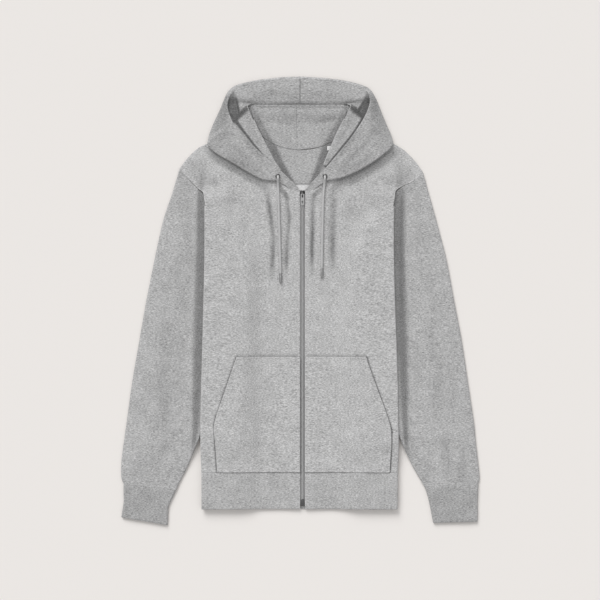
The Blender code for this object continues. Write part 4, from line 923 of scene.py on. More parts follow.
SLEEVE_CREASES = {-1: [
    ([(-262, 60), (-270, -40), (-262, -120)], 12, 1, 0.5),
    ([(-236, 150), (-240, 70), (-250, 0)], 10, 0.9, 0.4),
    ([(-276, -96), (-268, -190), (-258, -264)], 12, 1.3, 0.6),
    ([(-318, -120), (-300, -180), (-304, -250)], 10, 0.8, 0.4),
    ([(-252, -262), (-274, -306), (-282, -352)], 8, 1.1, 0.5),
    ([(-312, -282), (-318, -318), (-322, -352)], 7, 0.9, 0.5),
    ([(-232, -306), (-250, -326), (-256, -352)], 6, 0.8, 0.4),
    ([(-226, -60), (-240, -130), (-232, -196)], 10, 0.9, 0.4),
    ([(-232, 236), (-228, 196), (-236, 150)], 9, 0.8, 0.4),
], 1: [
    ([(252, 70), (262, -30), (254, -116)], 12, 1, 0.5),
    ([(232, 160), (236, 84), (246, 10)], 10, 0.9, 0.4),
    ([(266, -84), (270, -180), (262, -256)], 12, 1.3, 0.6),
    ([(306, -104), (294, -170), (300, -236)], 10, 0.8, 0.4),
    ([(276, -248), (288, -300), (284, -350)], 8, 1.3, 0.6),
    ([(318, -270), (316, -312), (320, -350)], 7, 0.9, 0.5),
    ([(230, -300), (248, -322), (254, -350)], 6, 0.8, 0.4),
    ([(222, -50), (232, -120), (224, -186)], 10, 0.9, 0.4),
    ([(230, 226), (226, 190), (232, 146)], 9, 0.8, 0.4),
]}
SLEEVE_FULL = 4.2
FULL_FROM = (-356.0, -310.0)  # the stretch above the cuff in which a sleeve fills out
FULL_TO = (120.0, 235.0)  # and the one toward the shoulder in which it goes flat again
BESIDE_BODY = (-24.0, -3.0)  # the stretch outside the body's edge in which it climbs
SLEEVE_PAINTED_SHADES = {
    # Painted shade where each sleeve runs in under the front, from the shoulder down to where it
    # leaves it.
    -1: [[(-196, 246, 7, 0.3), (-196, 200, 8, 0.48), (-195, 100, 10.5, 0.5), (-197.5, 0, 12, 0.5),
          (-200, -90, 11.5, 0.5), (-203, -165, 9.5, 0.5), (-206, -240, 7, 0.46),
          (-209, -272, 5, 0.4), (-212, -300, 4, 0.2)]],
    1: [[(193, 246, 9, 0.3), (191, 200, 11, 0.48), (190, 100, 12, 0.5), (193, 0, 12.5, 0.5),
         (196, -90, 11.5, 0.5), (199.5, -165, 8.5, 0.48), (202, -240, 6, 0.42),
         (204, -272, 4.6, 0.4), (207, -300, 4, 0.2)]],
}


def sleeve_lift(side, x, y):
    """How far the sleeve is lifted where it passes between the body's tucked layers."""
    inward = -side * (x - body_edge(side, min(y, TUCKED_TOP)))
    beside = ease(*BESIDE_BODY, inward)
    below_seam = 1.0 - ease(LEVEL_FROM, 221.0, y)
    return (SLEEVE_UNDER_Z - CLOTH / 2) * beside * below_seam


def tube_ring(outer, inner, bow, lift, thick, slack, stops, fullness):
    """One ring of a flattened tube from its outer fold over the top to its inner fold.

    The stops are shares of the width where both layers have a point. The tube is full up to
    the second of them, and pressed flat past it.
    """
    radius = (thick + slack) / 2
    long, way = heading(outer, inner)
    inset = (radius + thick / 2) / long
    first, last = inset, 1 - inset
    shares = [first, first + (stops[0] - first) / 3, first + (stops[0] - first) * 2 / 3, *stops,
              (stops[-1] + last) / 2, last]

    def point(share, top):
        x, y = mix(outer, inner, share)
        bend = bow(share)
        x, y = x + bend[0], y + bend[1]
        low = thick / 2 + lift(x, y)
        puff = fullness * math.sin(math.pi * min(1.0, (share - first) / (stops[1] - first))) ** 2
        return (x, y, low + (2 * radius + puff if top else 0.0))

    over = [point(share, True) for share in shares]
    under = [point(share, False) for share in shares[::-1]]
    inner_turn = half_turn(over[-1], under[0][2], way, 3)
    outer_turn = half_turn(under[-1], over[0][2], (-way[0], -way[1]), 3)
    return over + inner_turn + under + outer_turn


def sleeve_cage(side):
    """Rings of a flattened tube from the cuff seam up to the armhole."""
    table, hole = SLEEVES[side], ARMHOLES[side]
    tip, underarm = hole[0][1:], hole[-1][1:]
    rings = []
    for step in SLEEVE_STEPS:
        outer_x, outer_y, inner_x, inner_y, curve = at_step(table, step)

        def bow(share, curve=curve):
            seam = at_key(hole, share)
            straight = mix(tip, underarm, share)
            return (curve * (seam[0] - straight[0]), curve * (seam[1] - straight[1]))

        def outside_body(share):
            x, y = mix((outer_x, outer_y), (inner_x, inner_y), share)
            bend = bow(share)
            return side * (x + bend[0] - body_edge(side, min(y + bend[1], TUCKED_TOP)))

        stops = []
        for outside, least, most in BODY_STOPS:
            share = least
            while share < most and outside_body(share) > outside:
                share += 0.004
            stops.append(share)
        full = SLEEVE_FULL * (1.0 - ease(*FULL_TO, outer_y)) * ease(*FULL_FROM, outer_y)
        rings.append(tube_ring(
            (outer_x, outer_y), (inner_x, inner_y), bow,
            lambda x, y: sleeve_lift(side, x, y), CLOTH, SLEEVE_SLACK, stops, full,
        ))
    return rings


for side, word in SIDES:
    dip = ([(SLEEVES[side][0][0] * 1.05, SLEEVES[side][0][1] + 2.2),
            (SLEEVES[side][0][2] * 0.9, SLEEVES[side][0][3] + 5.4)], 2.2, 0.5, 0.0)
    lay_cloth(f"sleeve_{word}_cloth", sleeve_cage(side), (3.8, 4.8), SLEEVE_CREASES[side] + [dip],
              SLEEVE_PAINTED_SHADES[side], ring=True, inset=0.4, rough=0.6, seed=3.1 * side)

# %% [markdown]
# The patch pockets follow the fronts that they are sewn to, a cloth's thickness higher. Close
# rows and columns lie along the stitched edges, so the dip under the thread stays straight.

# %% Pockets
POCKET_ROWS = [
    -333.4, -331.6, -329.6, -327.6, -322, -298, -276, -240, -175, -122, -115.6, -113.6, -111.6,
    -109,
]
POCKET_STITCH = 4.6  # from a pocket's edge to its stitches
POCKET_SHARES = 0.52  # the front's columns below this share run on under the pocket


def pocket_cage(side):
    """A pocket's points, from the front's own columns and closer ones along its outer edge."""
    shared = [share for share in front_shares(side) if share < POCKET_SHARES]
    rows = []
    for y in POCKET_ROWS:
        outer = at_key(POCKETS[side], y)[0]
        columns = [front_column(side, share, y) for share in shared]
        last = outer - side * 13.0
        columns += [columns[-1] + (last - columns[-1]) * share for share in (0.5, 1.0)]
        columns += [outer - side * inside for inside in (8.0, 6.4, POCKET_STITCH, 2.8, 0.0)]
        rows.append([(x, y, front_height(x, y) + CLOTH + 2 * GAP) for x in columns])
    return rows


for side, word in SIDES:
    stitched = ZIP_X + side * (ZIP_HALF_GAP + STITCH_IN)
    edge = [(x - side * POCKET_STITCH, y) for y, x in POCKETS[side]]
    dips = [
        ([(stitched, -345.0), (stitched, -60.0)], *DIP),
        ([(ZIP_X, HEM_STITCH_Y), (side * 230.0, HEM_STITCH_Y)], *DIP),
        ([(ZIP_X - side * 60.0, POCKET_STITCH_Y), (side * 180.0, POCKET_STITCH_Y)], *DIP),
        ([(edge[0][0], -380.0), *edge, (edge[-1][0] - side * 20.0, -60.0)], *DIP),
    ]
    lay_cloth(f"pocket_{word}_cloth", pocket_cage(side), (2.7, 3.0), POCKET_CREASES[side] + dips,
              inset=0.4, rough=0.25, seed=1.7 * side)

# %% [markdown]
# Ribs run the whole length of cuffs and hem, hundreds of them side by side. Geometry Nodes raise
# them from a smooth band: each point moves out along its normal by a wave that reads how far
# across the band the point is. One tree with named sizes serves all three pieces.

# %% Rib tree
def named_input(tree, name, kind, value=None):
    socket = tree.interface.new_socket(name=name, in_out="INPUT", socket_type=kind)
    if value is not None:
        socket.default_value = value
    return socket


def add_node(tree, kind, inputs=None, **settings):
    """A node with its settings, whose inputs are fed by sockets or by plain values."""
    node = tree.nodes.new(kind)
    for label, value in settings.items():
        setattr(node, label, value)
    for label, value in (inputs or {}).items():
        if hasattr(value, "links"):
            tree.links.new(value, node.inputs[label])
        else:
            node.inputs[label].default_value = value
    return node


def maths(tree, how, *values):
    return add_node(tree, "ShaderNodeMath", dict(enumerate(values)), operation=how).outputs[0]


def finish_tree(tree, shape, material_socket):
    """Ends a tree in Realize Instances and Set Material."""
    real = add_node(tree, "GeometryNodeRealizeInstances", {0: shape})
    dress = add_node(tree, "GeometryNodeSetMaterial",
                     {"Geometry": real.outputs[0], "Material": material_socket})
    add_node(tree, "NodeGroupOutput", {0: dress.outputs[0]})


def stops_along(tree, given, pitch):
    """Points along the lines of a piece, at the pitch that one of the tree's sizes says."""
    line = add_node(tree, "GeometryNodeMeshToCurve", {0: given.outputs["Geometry"]})
    return add_node(tree, "GeometryNodeResampleCurve",
                    {0: line.outputs[0], "Length": given.outputs[pitch]}, mode="LENGTH").outputs[0]


def new_tree(name, sizes):
    """An empty tree with a geometry input, named sizes and a material."""
    tree = bpy.data.node_groups.new(name, "GeometryNodeTree")
    tree.interface.new_socket(name="Geometry", in_out="INPUT", socket_type="NodeSocketGeometry")
    for label, value in sizes.items():
        named_input(tree, label, "NodeSocketFloat", value)
    named_input(tree, "Material", "NodeSocketMaterial")
    tree.interface.new_socket(name="Geometry", in_out="OUTPUT", socket_type="NodeSocketGeometry")
    return tree, tree.nodes.new("NodeGroupInput")


def grow(piece, tree, **values):
    """Runs a tree on a piece and keeps the plain mesh that comes out."""
    step = piece.modifiers.new("grow", "NODES")
    step.node_group = tree
    for item in tree.interface.items_tree:
        if item.in_out == "INPUT" and item.name in values:
            step[item.identifier] = values[item.name]
    piece.update_tag()
    bpy.context.view_layer.update()
    seen = piece.evaluated_get(bpy.context.evaluated_depsgraph_get())
    mesh = bpy.data.meshes.new_from_object(seen)
    piece.modifiers.clear()
    piece.data = mesh
    return piece


rib_tree, given = new_tree("raise ribs", {"Pitch": 2.8, "Height": 0.00035})
across = add_node(rib_tree, "GeometryNodeInputNamedAttribute", {"Name": "across"},
                  data_type="FLOAT").outputs[0]
turn = maths(rib_tree, "MULTIPLY", across, 2 * math.pi)
turn = maths(rib_tree, "DIVIDE", turn, given.outputs["Pitch"])
lift = maths(rib_tree, "MULTIPLY", maths(rib_tree, "COSINE", turn), given.outputs["Height"])
normal = add_node(rib_tree, "GeometryNodeInputNormal").outputs[0]
push = add_node(rib_tree, "ShaderNodeVectorMath", {0: normal, "Scale": lift}, operation="SCALE")
move = add_node(rib_tree, "GeometryNodeSetPosition",
                {"Geometry": given.outputs["Geometry"], "Offset": push.outputs[0]})
finish_tree(rib_tree, move.outputs[0], given.outputs["Material"])
print("rib tree has", len(rib_tree.nodes), "nodes")


def mark_across(piece):
    """Writes how far across the band each point is, from the length map."""
    mesh = piece.data
    value = np.zeros(len(mesh.vertices), np.float32)
    corner_points = np.zeros(len(mesh.loops), np.int32)
    mesh.loops.foreach_get("vertex_index", corner_points)
    marks = np.zeros(len(mesh.loops) * 2, np.float32)
    mesh.uv_layers["cloth"].data.foreach_get("uv", marks)
    value[corner_points[::-1]] = marks[0::2][::-1]
    mesh.attributes.new("across", "FLOAT", "POINT").data.foreach_set("value", value)


# %% [markdown]
# The cuffs are flattened tubes of rib and the hem is one long band that goes round both tucked
# sides. Their ribs need points four to a rib across, and few along.

# %% Cuffs and hem rib
RIB_PITCH = 2.9
RIB_CELLS = (RIB_PITCH / 4, 6.0)
RIB_ROOM = 0.5  # thickness that is left for the raised ribs
HEM_TUCK = 66.0  # how far the hem's two sides are tucked in behind
HEM_DOWN = (8.0, 24.0, 46.0)  # rows of points below its seam
HEM_MIDDLE, HEM_FLAT = 30.0, 80.0  # columns of points inside each fold, behind and on the back
HEM_AT_ZIP = 5.0  # height of the rib's middle layer beside the zip, before its slope down
CUFFS = {-1: [
    # (outer x, outer y, inner x, inner y)
    (-347.2, -356.6, -245.4, -370.1), (-347.6, -373, -252, -385), (-347, -389, -258.8, -399.5),
    (-349.4, -406, -260.4, -418.5), (-351.7, -421.3, -261.2, -436.6),
], 1: [
    (346.2, -355, 241.4, -364), (345.6, -372, 245.8, -377.5), (344.8, -389, 249.2, -390.5),
    (344.9, -409, 253.2, -410.5), (344.7, -429.8, 257.3, -432.2),
]}


def cuff_cage(side):
    """The cuff's points, a flattened tube of rib from its seam to its mouth."""
    rings = []
    for step in (0, 0.6, 1.4, 2.2, 3.1, 4):
        outer_x, outer_y, inner_x, inner_y = at_step(CUFFS[side], step)
        rings.append(tube_ring(
            (outer_x, outer_y), (inner_x, inner_y), lambda share: (0.0, 0.0),
            lambda x, y: 0.0, CUFF_RIB, 0.6, (0.4, 0.5, 0.6, 0.7, 0.8), 0.6,
        ))
    return rings


def hem_cage():
    """The hem's points, from the zip round both tucked sides and back to the zip."""
    back_z = RIB / 2
    over_z = back_z + RIB + RIB_SLACK
    under_z = over_z + RIB + 0.6
    top_z = under_z + RIB + RIB_SLACK
    reach = RIB / 2 + (RIB + RIB_SLACK) / 2
    rows = []
    for y in (HEM_SEAM - GAP - 0.1, *(HEM_SEAM - down for down in HEM_DOWN), HEM_BOTTOM):
        halves = {}
        for side in (-1, 1):
            edge = body_edge(side, y)
            start = ZIP_X + side * ZIP_HALF_GAP
            turn = edge - side * reach
            seam = edge - side * HEM_TUCK
            path = []
            for share in (0.0, 0.07, 0.14, 0.22, 0.3, 0.42, 0.54, 0.66, 0.8, 1.0):
                x = start + (turn - start) * share
                low = HEM_AT_ZIP - 1.0 * ease(*BESIDE_ZIP, abs(x - ZIP_X))
                path.append((x, y, low + (top_z - low) * climb(x, y)))
            path += half_turn(path[-1], under_z, (side, 0.0), TURN_STEPS)
            middle = turn - side * HEM_MIDDLE
            path += [(turn, y, under_z), (middle, y, under_z), (seam, y, under_z)]
            path += half_turn((seam, y, under_z), over_z, (-side, 0.0), 4)
            inner = turn - side * BACK_INSET
            path += [(seam, y, over_z), (middle, y, over_z), (inner, y, over_z)]
            path += half_turn((inner, y, over_z), back_z, (side, 0.0), TURN_STEPS)
            path += [(inner, y, back_z), (edge - side * HEM_FLAT, y, back_z)]
            halves[side] = path
        rows.append(halves[-1] + [(ZIP_X, y, back_z)] + halves[1][::-1])
    return rows


RIB_CREASES = [
    # Slight puckers where the rib pulls the seam in.
    ([(-150.0 + 47.0 * i, -330.0), (-147.0 + 47.0 * i, -374.0)], 6.0, 0.35, 0.3) for i in range(7)
]
for side, word in SIDES:
    creases = [
        ([(side * 300.0, -350.0), (side * 298.0, -400.0)], 7.0, 0.7, 0.3),
        ([(side * 326.0, -362.0), (side * 322.0, -424.0)], 6.0, 0.5, 0.3),
        ([(side * 270.0, -366.0), (side * 274.0, -426.0)], 6.0, 0.5, 0.3),
    ]
    mark_across(lay_cloth(f"cuff_{word}_rib", cuff_cage(side), RIB_CELLS, creases,
                          thick=CUFF_RIB - RIB_ROOM, ring=True, inset=0.3, rough=0.3,
                          seed=5.0 + side))
mark_across(lay_cloth("hem_rib_cloth", hem_cage(), RIB_CELLS, RIB_CREASES, thick=RIB - RIB_ROOM,
                      inset=0.3, rough=0.3, seed=8.0))

# %% [markdown]
# Each half of the hood runs from its front edge over the fold that shows as its outline, and
# back under to the neck seam. Sections across it, from the zip round the shoulder to the crown,
# hold its shape. Long soft creases follow the front edge.

# %% Hood halves
HOOD = {-1: [
    # (edge x, edge y, edge z, fold x, fold y, roll)
    (-12, 228.2, 6.2, -3.6, 217.2, 0), (-24.1, 239.5, 6.8, -19.6, 218, 0),
    (-33.8, 248.4, 7.8, -34, 228.6, 0), (-46.5, 259.5, 10.8, -51.4, 234.6, 1.7),
    (-65, 275.9, 11.9, -76.7, 237.5, 1.9), (-84.5, 293.9, 12.1, -102.3, 250.6, 2),
    (-104, 311.4, 12.2, -133.3, 269.1, 2), (-119.6, 328.2, 12.3, -164, 286.8, 2),
    (-128, 339.5, 12.6, -180.6, 300.5, 2), (-133, 347, 12.8, -182.8, 310.5, 2.4),
    (-138, 357, 13, -178.5, 329.5, 3), (-142.5, 369, 13, -169.5, 351.5, 3.3),
    (-144.6, 381, 12.6, -158.5, 374.5, 3.4), (-142.4, 394, 11.4, -151, 394.5, 3.4),
    (-134.3, 407.6, 9.8, -141.5, 412, 3.4), (-118.9, 418.4, 8.6, -124, 423.4, 3.3),
    (-87.5, 426.6, 7.8, -87.5, 432, 3.3), (-42.6, 432, 7.6, -42.6, 437.4, 3.3),
    (-2.8, 433.8, 7.6, -2.8, 439.2, 3.3),
], 1: [
    (16.5, 228.2, 6.2, 8, 217.2, 0), (28.6, 240.4, 6.8, 23.6, 218, 0),
    (38.3, 250.4, 7.8, 37.6, 228.6, 0), (51, 263.1, 10.8, 55.9, 235.6, 1.7),
    (69.5, 284.7, 11.9, 81.2, 241.4, 1.9), (88, 306.3, 12.1, 106.6, 252.1, 2),
    (104.6, 329.2, 12.2, 135.8, 268.7, 2), (115, 344.5, 12.3, 160.4, 286.5, 2),
    (120.5, 353.5, 12.6, 176.2, 300, 2), (124.1, 360.4, 12.8, 178.6, 309.5, 2.4),
    (128, 368.5, 13, 174.5, 325.5, 3), (131.3, 377, 13, 166, 344.5, 3.3),
    (133.7, 386, 12.6, 158, 364, 3.4), (133.6, 396, 11.4, 150.8, 382.5, 3.4),
    (129.5, 406.5, 9.8, 143.5, 399.5, 3.4), (119.4, 414.9, 8.6, 129.5, 417.5, 3.3),
    (92, 423.8, 7.8, 95, 429.2, 3.3), (46.1, 430.8, 7.6, 46.1, 436.2, 3.3),
    (-2.2, 433.8, 7.6, -2.2, 439.2, 3.3),
]}
HOOD_STEPS = [
    0, 1, 2, 2.5, 3, 3.5, 4, 5, 6, 7, 7.6, 8, 8.5, 9, 9.5, 10, 11, 12, 12.5, 13, 13.5, 14, 14.5,
    15, 16, 17, 18,
]
HOOD_SEAM = {-1: [
    # (section, x, y)
    (0, -3.6, 217.2), (1, -19.6, 218), (2, -34, 228.6), (3, -45, 240.8), (4, -61, 266.2),
    (5, -76.2, 295), (6, -86.8, 316), (7, -91.2, 323.4), (8, -94.8, 327.5), (9, -101.5, 331.8),
    (10, -100.8, 333.6), (11, -98.8, 334.8), (12, -95.5, 334.6), (12.5, -89, 330.9),
    (13, -80, 324.8), (14, -62, 313.8), (15, -46, 305.8), (16, -30, 300.6), (17, -16, 298),
    (18, -2.8, 296.8),
], 1: [
    (0, 8, 217.2), (1, 23.6, 218), (2, 37.6, 228.6), (3, 48.6, 241.8), (4, 64, 268.2),
    (5, 78.4, 296.6), (6, 88.2, 316.6), (7, 92.4, 323.4), (8, 96, 327.5), (9, 102.5, 331.8),
    (10, 101.8, 333.6), (11, 99.8, 334.8), (12, 96.5, 334.6), (12.5, 90, 330.9), (13, 80.5, 324.8),
    (14, 61.5, 314.2), (15, 44, 305.8), (16, 27, 300.6), (17, 12, 298), (18, -2.2, 296.8),
]}
HOOD_OVER = (0.0, 0.33, 0.67, 1.0)
HOOD_UNDER = (0.0, 0.2, 0.4, 0.6, 0.75, 0.88, 1.0)
FOLDED_FROM = 3  # the hood's lower edge turns under from this section on
HOOD_CREASES = {-1: [
    ([(-160, 326), (-128, 296), (-96, 268), (-72, 250)], 6.5, 1.5, 0.7),
    ([(-168, 344), (-154, 322), (-140, 306)], 8, 1, 0.5),
    ([(-120, 268), (-90, 255), (-66, 243)], 5.5, 0.9, 0.4),
    ([(-138, 404), (-146, 386), (-152, 366)], 6, 0.7, 0.3),
    ([(-96, 425), (-60, 418), (-24, 424)], 9, 0.5, 0.3),
], 1: [
    ([(152, 334), (122, 300), (92, 270), (66, 246)], 6.5, 1.5, 0.7),
    ([(162, 346), (148, 330), (136, 318)], 8, 1, 0.5),
    ([(122, 272), (96, 258), (72, 246)], 5.5, 0.9, 0.4),
    ([(134, 402), (142, 384), (148, 362)], 6, 0.7, 0.3),
    ([(96, 420), (62, 416), (26, 424)], 9, 0.5, 0.3),
]}
HOOD_PAINTED_SHADES = {
    # Painted shade on its sides, which roll away, and along a soft dip that follows the edge: (x,
    # y, half width, dark).
    -1: [[(-172, 296, 16, 0.1), (-158, 322, 26, 0.14), (-154, 352, 16, 0.2), (-151, 376, 9, 0.34),
          (-146, 396, 8, 0.26), (-134, 414, 6, 0)],
         [(-140, 284, 9, 0.12), (-112, 267, 9, 0.26), (-88, 254, 8, 0.2), (-66, 244, 7, 0)],
         [(-112, 330, 7, 0.1), (-97, 305, 9, 0.24), (-80, 284, 7, 0.18), (-66, 262, 6, 0)]],
    1: [[(168, 296, 16, 0.1), (154, 320, 26, 0.14), (148, 346, 16, 0.2), (144, 372, 10, 0.34),
         (141, 392, 8, 0.26), (132, 410, 6, 0)],
        [(136, 282, 9, 0.12), (108, 265, 9, 0.24), (84, 252, 8, 0.18), (64, 243, 7, 0)],
        [(104, 330, 7, 0.1), (87, 305, 9, 0.24), (72, 284, 7, 0.18), (60, 262, 6, 0)]],
}


def hood_section(side, step):
    """One section of the hood: its front edge, over the fold, and under to its seam."""
    edge_x, edge_y, edge_z, fold_x, fold_y, roll = at_step(HOOD[side], step)
    seam = straight_key(HOOD_SEAM[side], step)
    _, way = heading((edge_x, edge_y), (fold_x, fold_y))
    if step < FOLDED_FROM:
        end_z = front_height(fold_x, fold_y) + (CLOTH + GAP) * ease(1.0, 2.0, step)
        over = []
        for share in HOOD_OVER:
            x, y = mix((edge_x, edge_y), (fold_x, fold_y), share)
            over.append((x, y, edge_z + (end_z - edge_z) * share))
        return over + [None] * (TURN_STEPS - 1 + len(HOOD_UNDER))
    reach = roll + CLOTH / 2
    turn = (fold_x - way[0] * reach, fold_y - way[1] * reach)
    low = hood_bed(side, *turn)
    high = low + 2 * roll
    over = []
    for share in HOOD_OVER:
        x, y = mix((edge_x, edge_y), turn, share)
        over.append((x, y, edge_z + (high - edge_z) * share))
    under = []
    for share in HOOD_UNDER:
        x, y = mix(turn, seam, share)
        under.append((x, y, hood_bed(side, x, y)))
    return over + half_turn(over[-1], low, way, TURN_STEPS) + under


for side, word in SIDES:
    lay_cloth(f"hood_{word}_cloth", [hood_section(side, step) for step in HOOD_STEPS], (3.0, 3.4),
              HOOD_CREASES[side], HOOD_PAINTED_SHADES[side], inset=0.25, rough=0.5, seed=6.0 * side)

# %% [markdown]
# Inside the hood its lining shows: a flap down each side with a turned edge, a band under the
# crown, and the two halves of the hood's back with their seam between them.

# %% Lining of the hood
FLAPS = {-1: [
    # (section, inner x, inner y, inner z, outer z, run under)
    (3, -38.7, 255.1, 8.2, 8, 1), (4, -51.4, 273.6, 9.2, 9.2, 5), (5, -64.1, 298, 9.3, 9.2, 9),
    (6, -75.8, 321.4, 9.4, 9.2, 12), (7, -83.5, 336.5, 9.6, 9.2, 14), (8, -88, 346.5, 9.9, 9, 14),
    (9, -91.4, 354.5, 10.4, 8, 14), (10, -95, 363, 10.9, 6, 13), (11, -98.8, 372.5, 11.3, 4.6, 10),
    (12, -101.7, 380.6, 11.3, 4.4, 7), (13, -95.5, 384.6, 4.2, 5.2, 3),
    (14, -82, 383.6, 3.4, 5.8, 0), (15, -64, 383.2, 3.4, 5.4, -0.6),
    (16, -43, 383.2, 3.4, 5.2, -0.6), (17, -22, 383.2, 3.4, 5.2, -0.6),
    (18, -2.8, 383.2, 3.4, 5.2, -0.6),
], 1: [
    (3, 42.3, 266.5, 8.2, 8, 1), (4, 51.5, 289.5, 9.2, 9.2, 5), (5, 60, 310, 9.3, 9.2, 9),
    (6, 68, 328, 9.4, 9.2, 12), (7, 74.5, 341, 9.6, 9.2, 14), (8, 78.5, 348.7, 9.9, 9, 14),
    (9, 81.8, 355.5, 10.4, 8, 14), (10, 85.5, 364, 10.9, 6, 13), (11, 89.5, 373.5, 11.3, 4.6, 10),
    (12, 93.1, 381, 11.3, 4.4, 7), (13, 86.5, 384.6, 4.2, 5.2, 3), (14, 74, 383.6, 3.4, 5.8, 0),
    (15, 57, 383.2, 3.4, 5.4, -0.6), (16, 38, 383.2, 3.4, 5.2, -0.6),
    (17, 18, 383.2, 3.4, 5.2, -0.6), (18, -2.2, 383.2, 3.4, 5.2, -0.6),
]}
FLAP_STEPS = [
    3, 3.5, 4, 5, 6, 7, 8, 9, 9.5, 10, 10.5, 11, 11.5, 12, 12.5, 13, 13.5, 14, 15, 16, 17, 18,
]
FLAP_TURN_TO = 9  # the flap's inner edge is turned under as far as this section
FLAP_TURN = 4.5
FLAP_ROLL = 1.5
HOOD_BACK = {
    -1: {
        "seam": [(-8.2, 296.6), (-8.8, 384)],
        "side": [(0, -77, 323.6), (0.25, -82.5, 338), (0.5, -91, 354), (0.8, -95.5, 371),
                 (1, -91, 384)],
        "neck": [(0, -8.2, 296.6), (0.45, -41.6, 302.8), (0.8, -66, 315), (1, -77, 323.6)],
    },
    1: {
        "seam": [(-7.6, 296.6), (-8.2, 384)],
        "side": [(0, 76, 323.4), (0.25, 79, 338), (0.5, 84.5, 354), (0.8, 87, 371),
                 (1, 82.5, 384)],
        "neck": [(0, -7.6, 296.6), (0.48, 37, 303), (0.82, 65, 315.4), (1, 76, 323.4)],
    },
}
HOOD_BACK_LOW = CLOTH * 1.5 + GAP
HOOD_BACK_HIGH = 8.6
HOOD_BACK_RISE = (345.0, 374.0)
HOOD_BACK_TURN = 6.0
LINING_CREASES = {-1: [
    ([(-112, 372), (-100, 336), (-84, 306), (-66, 284)], 5, 0.9, 0.4),
    ([(-92, 398), (-50, 404), (-14, 400)], 8, 0.5, 0.3),
], 1: [
    ([(104, 372), (92, 338), (76, 312), (60, 292)], 5, 0.9, 0.4),
    ([(86, 398), (48, 404), (16, 400)], 8, 0.5, 0.3),
]}
BACK_CREASES = {
    -1: [([(-64, 352), (-40, 346), (-14, 350)], 7, 0.6, 0.3)],
    1: [([(74, 356), (50, 352), (24, 346)], 5.5, 1.3, 0.6),
        ([(66, 334), (44, 330), (20, 333)], 7, 0.5, 0.3)],
}
LINING_PAINTED_SHADES = {
    # Painted shade in the corner under the hood's edge, the gap below it, and along the crown's
    # lower edge:
    # (x, y, half width, dark).
    -1: [[(-138, 410, 7, 0.4), (-135, 395, 10, 0.6), (-132, 378, 13, 0.62), (-128, 362, 10, 0.68)],
         [(-128, 396, 2.8, 0.6), (-124, 380, 3, 0.78), (-121, 366, 3.2, 0.7)],
         [(-131, 352, 5, 0.74), (-120, 364, 6, 0.74), (-106, 376, 6, 0.66)],
         [(-136, 364, 5, 0.7), (-126, 349, 4.6, 0.74), (-117, 337, 3.2, 0.7),
          (-104, 320, 2.4, 0.68), (-80, 290, 2.2, 0.66), (-50, 254, 2, 0.6)],
         [(-112, 385, 6, 0.24), (0, 385, 6, 0.3), (40, 385, 6, 0.3)]],
    1: [[(134, 410, 7, 0.4), (132, 396, 9, 0.6), (127, 380, 11, 0.64), (122, 364, 10, 0.68)],
        [(126, 398, 2.8, 0.55), (120, 386, 3, 0.7), (112, 372, 5, 0.7)],
        [(122, 358, 5, 0.74), (108, 370, 7, 0.74), (97, 379, 6, 0.66)],
        [(129, 370, 5, 0.7), (119, 353, 4.6, 0.74), (108, 336, 3.2, 0.7), (96, 321, 2.4, 0.68),
         (74, 294, 2.2, 0.66), (48, 262, 2, 0.6)],
        [(108, 385, 6, 0.24), (0, 385, 6, 0.3), (-40, 385, 6, 0.3)]],
}
INSIDE_PAINTED_SHADES = {
    # Painted shade beside each flap's inner edge, under the fold at the crown, and along the left
    # half's seam: (x, y, half width, dark).
    -1: [[(-96, 376, 5, 0.2), (-84, 350, 7, 0.3), (-68, 318, 8.5, 0.42), (-56, 300, 9, 0.52),
          (-46, 278, 8, 0.54), (-30, 250, 6, 0.54), (-16, 230, 4, 0.5)],
         [(-96, 381, 4.5, 0.2), (0, 381, 4.5, 0.26), (40, 381, 4.5, 0.26)],
         [(*HOOD_BACK[-1]["seam"][1], 1.9, 0.36), (*HOOD_BACK[-1]["seam"][0], 1.7, 0.16)]],
    1: [[(88, 376, 5, 0.24), (76, 350, 8, 0.32), (60, 320, 9.5, 0.42), (50, 301, 10, 0.5),
         (41, 278, 8.5, 0.5), (30, 252, 6, 0.5), (20, 230, 4, 0.45)],
        [(92, 381, 4.5, 0.2), (0, 381, 4.5, 0.26), (-40, 381, 4.5, 0.26)]],
}


def flap_row(side, step):
    """One section of the lining, from under the hood's edge to its own inner edge."""
    inner_x, inner_y, inner_z, outer_z, run = at_key(FLAPS[side], step)
    edge_x, edge_y, edge_z, fold_x, fold_y = at_step(HOOD[side], step)[:5]
    crown = ease(12.4, 14.0, step)
    outer_z, run = mix((outer_z, run), (edge_z - 0.15, 1.9), crown)
    long = math.dist((edge_x, edge_y), (fold_x, fold_y))
    start = (edge_x + (fold_x - edge_x) / long * run, edge_y + (fold_y - edge_y) / long * run)
    long, way = heading(start, (inner_x, inner_y))
    reach = FLAP_ROLL + CLOTH / 2
    end = (inner_x - way[0] * reach, inner_y - way[1] * reach)
    row = []
    for share in (0.0, 0.2, 0.4, 0.55, 0.7, 0.85, 1.0):
        x, y = mix(start, end, share)
        deep = ease(0.25 + 0.15 * crown, 1.0, share)
        row.append((x, y, outer_z + (inner_z - outer_z) * deep))
    if step > FLAP_TURN_TO:
        return row + [None] * (TURN_STEPS + 1)
    low = inner_z - 2 * FLAP_ROLL
    back = min(FLAP_TURN, long * 0.4)
    row += half_turn((*end, inner_z), low, way, TURN_STEPS)
    return row + [(end[0], end[1], low), (end[0] - way[0] * back, end[1] - way[1] * back, low)]


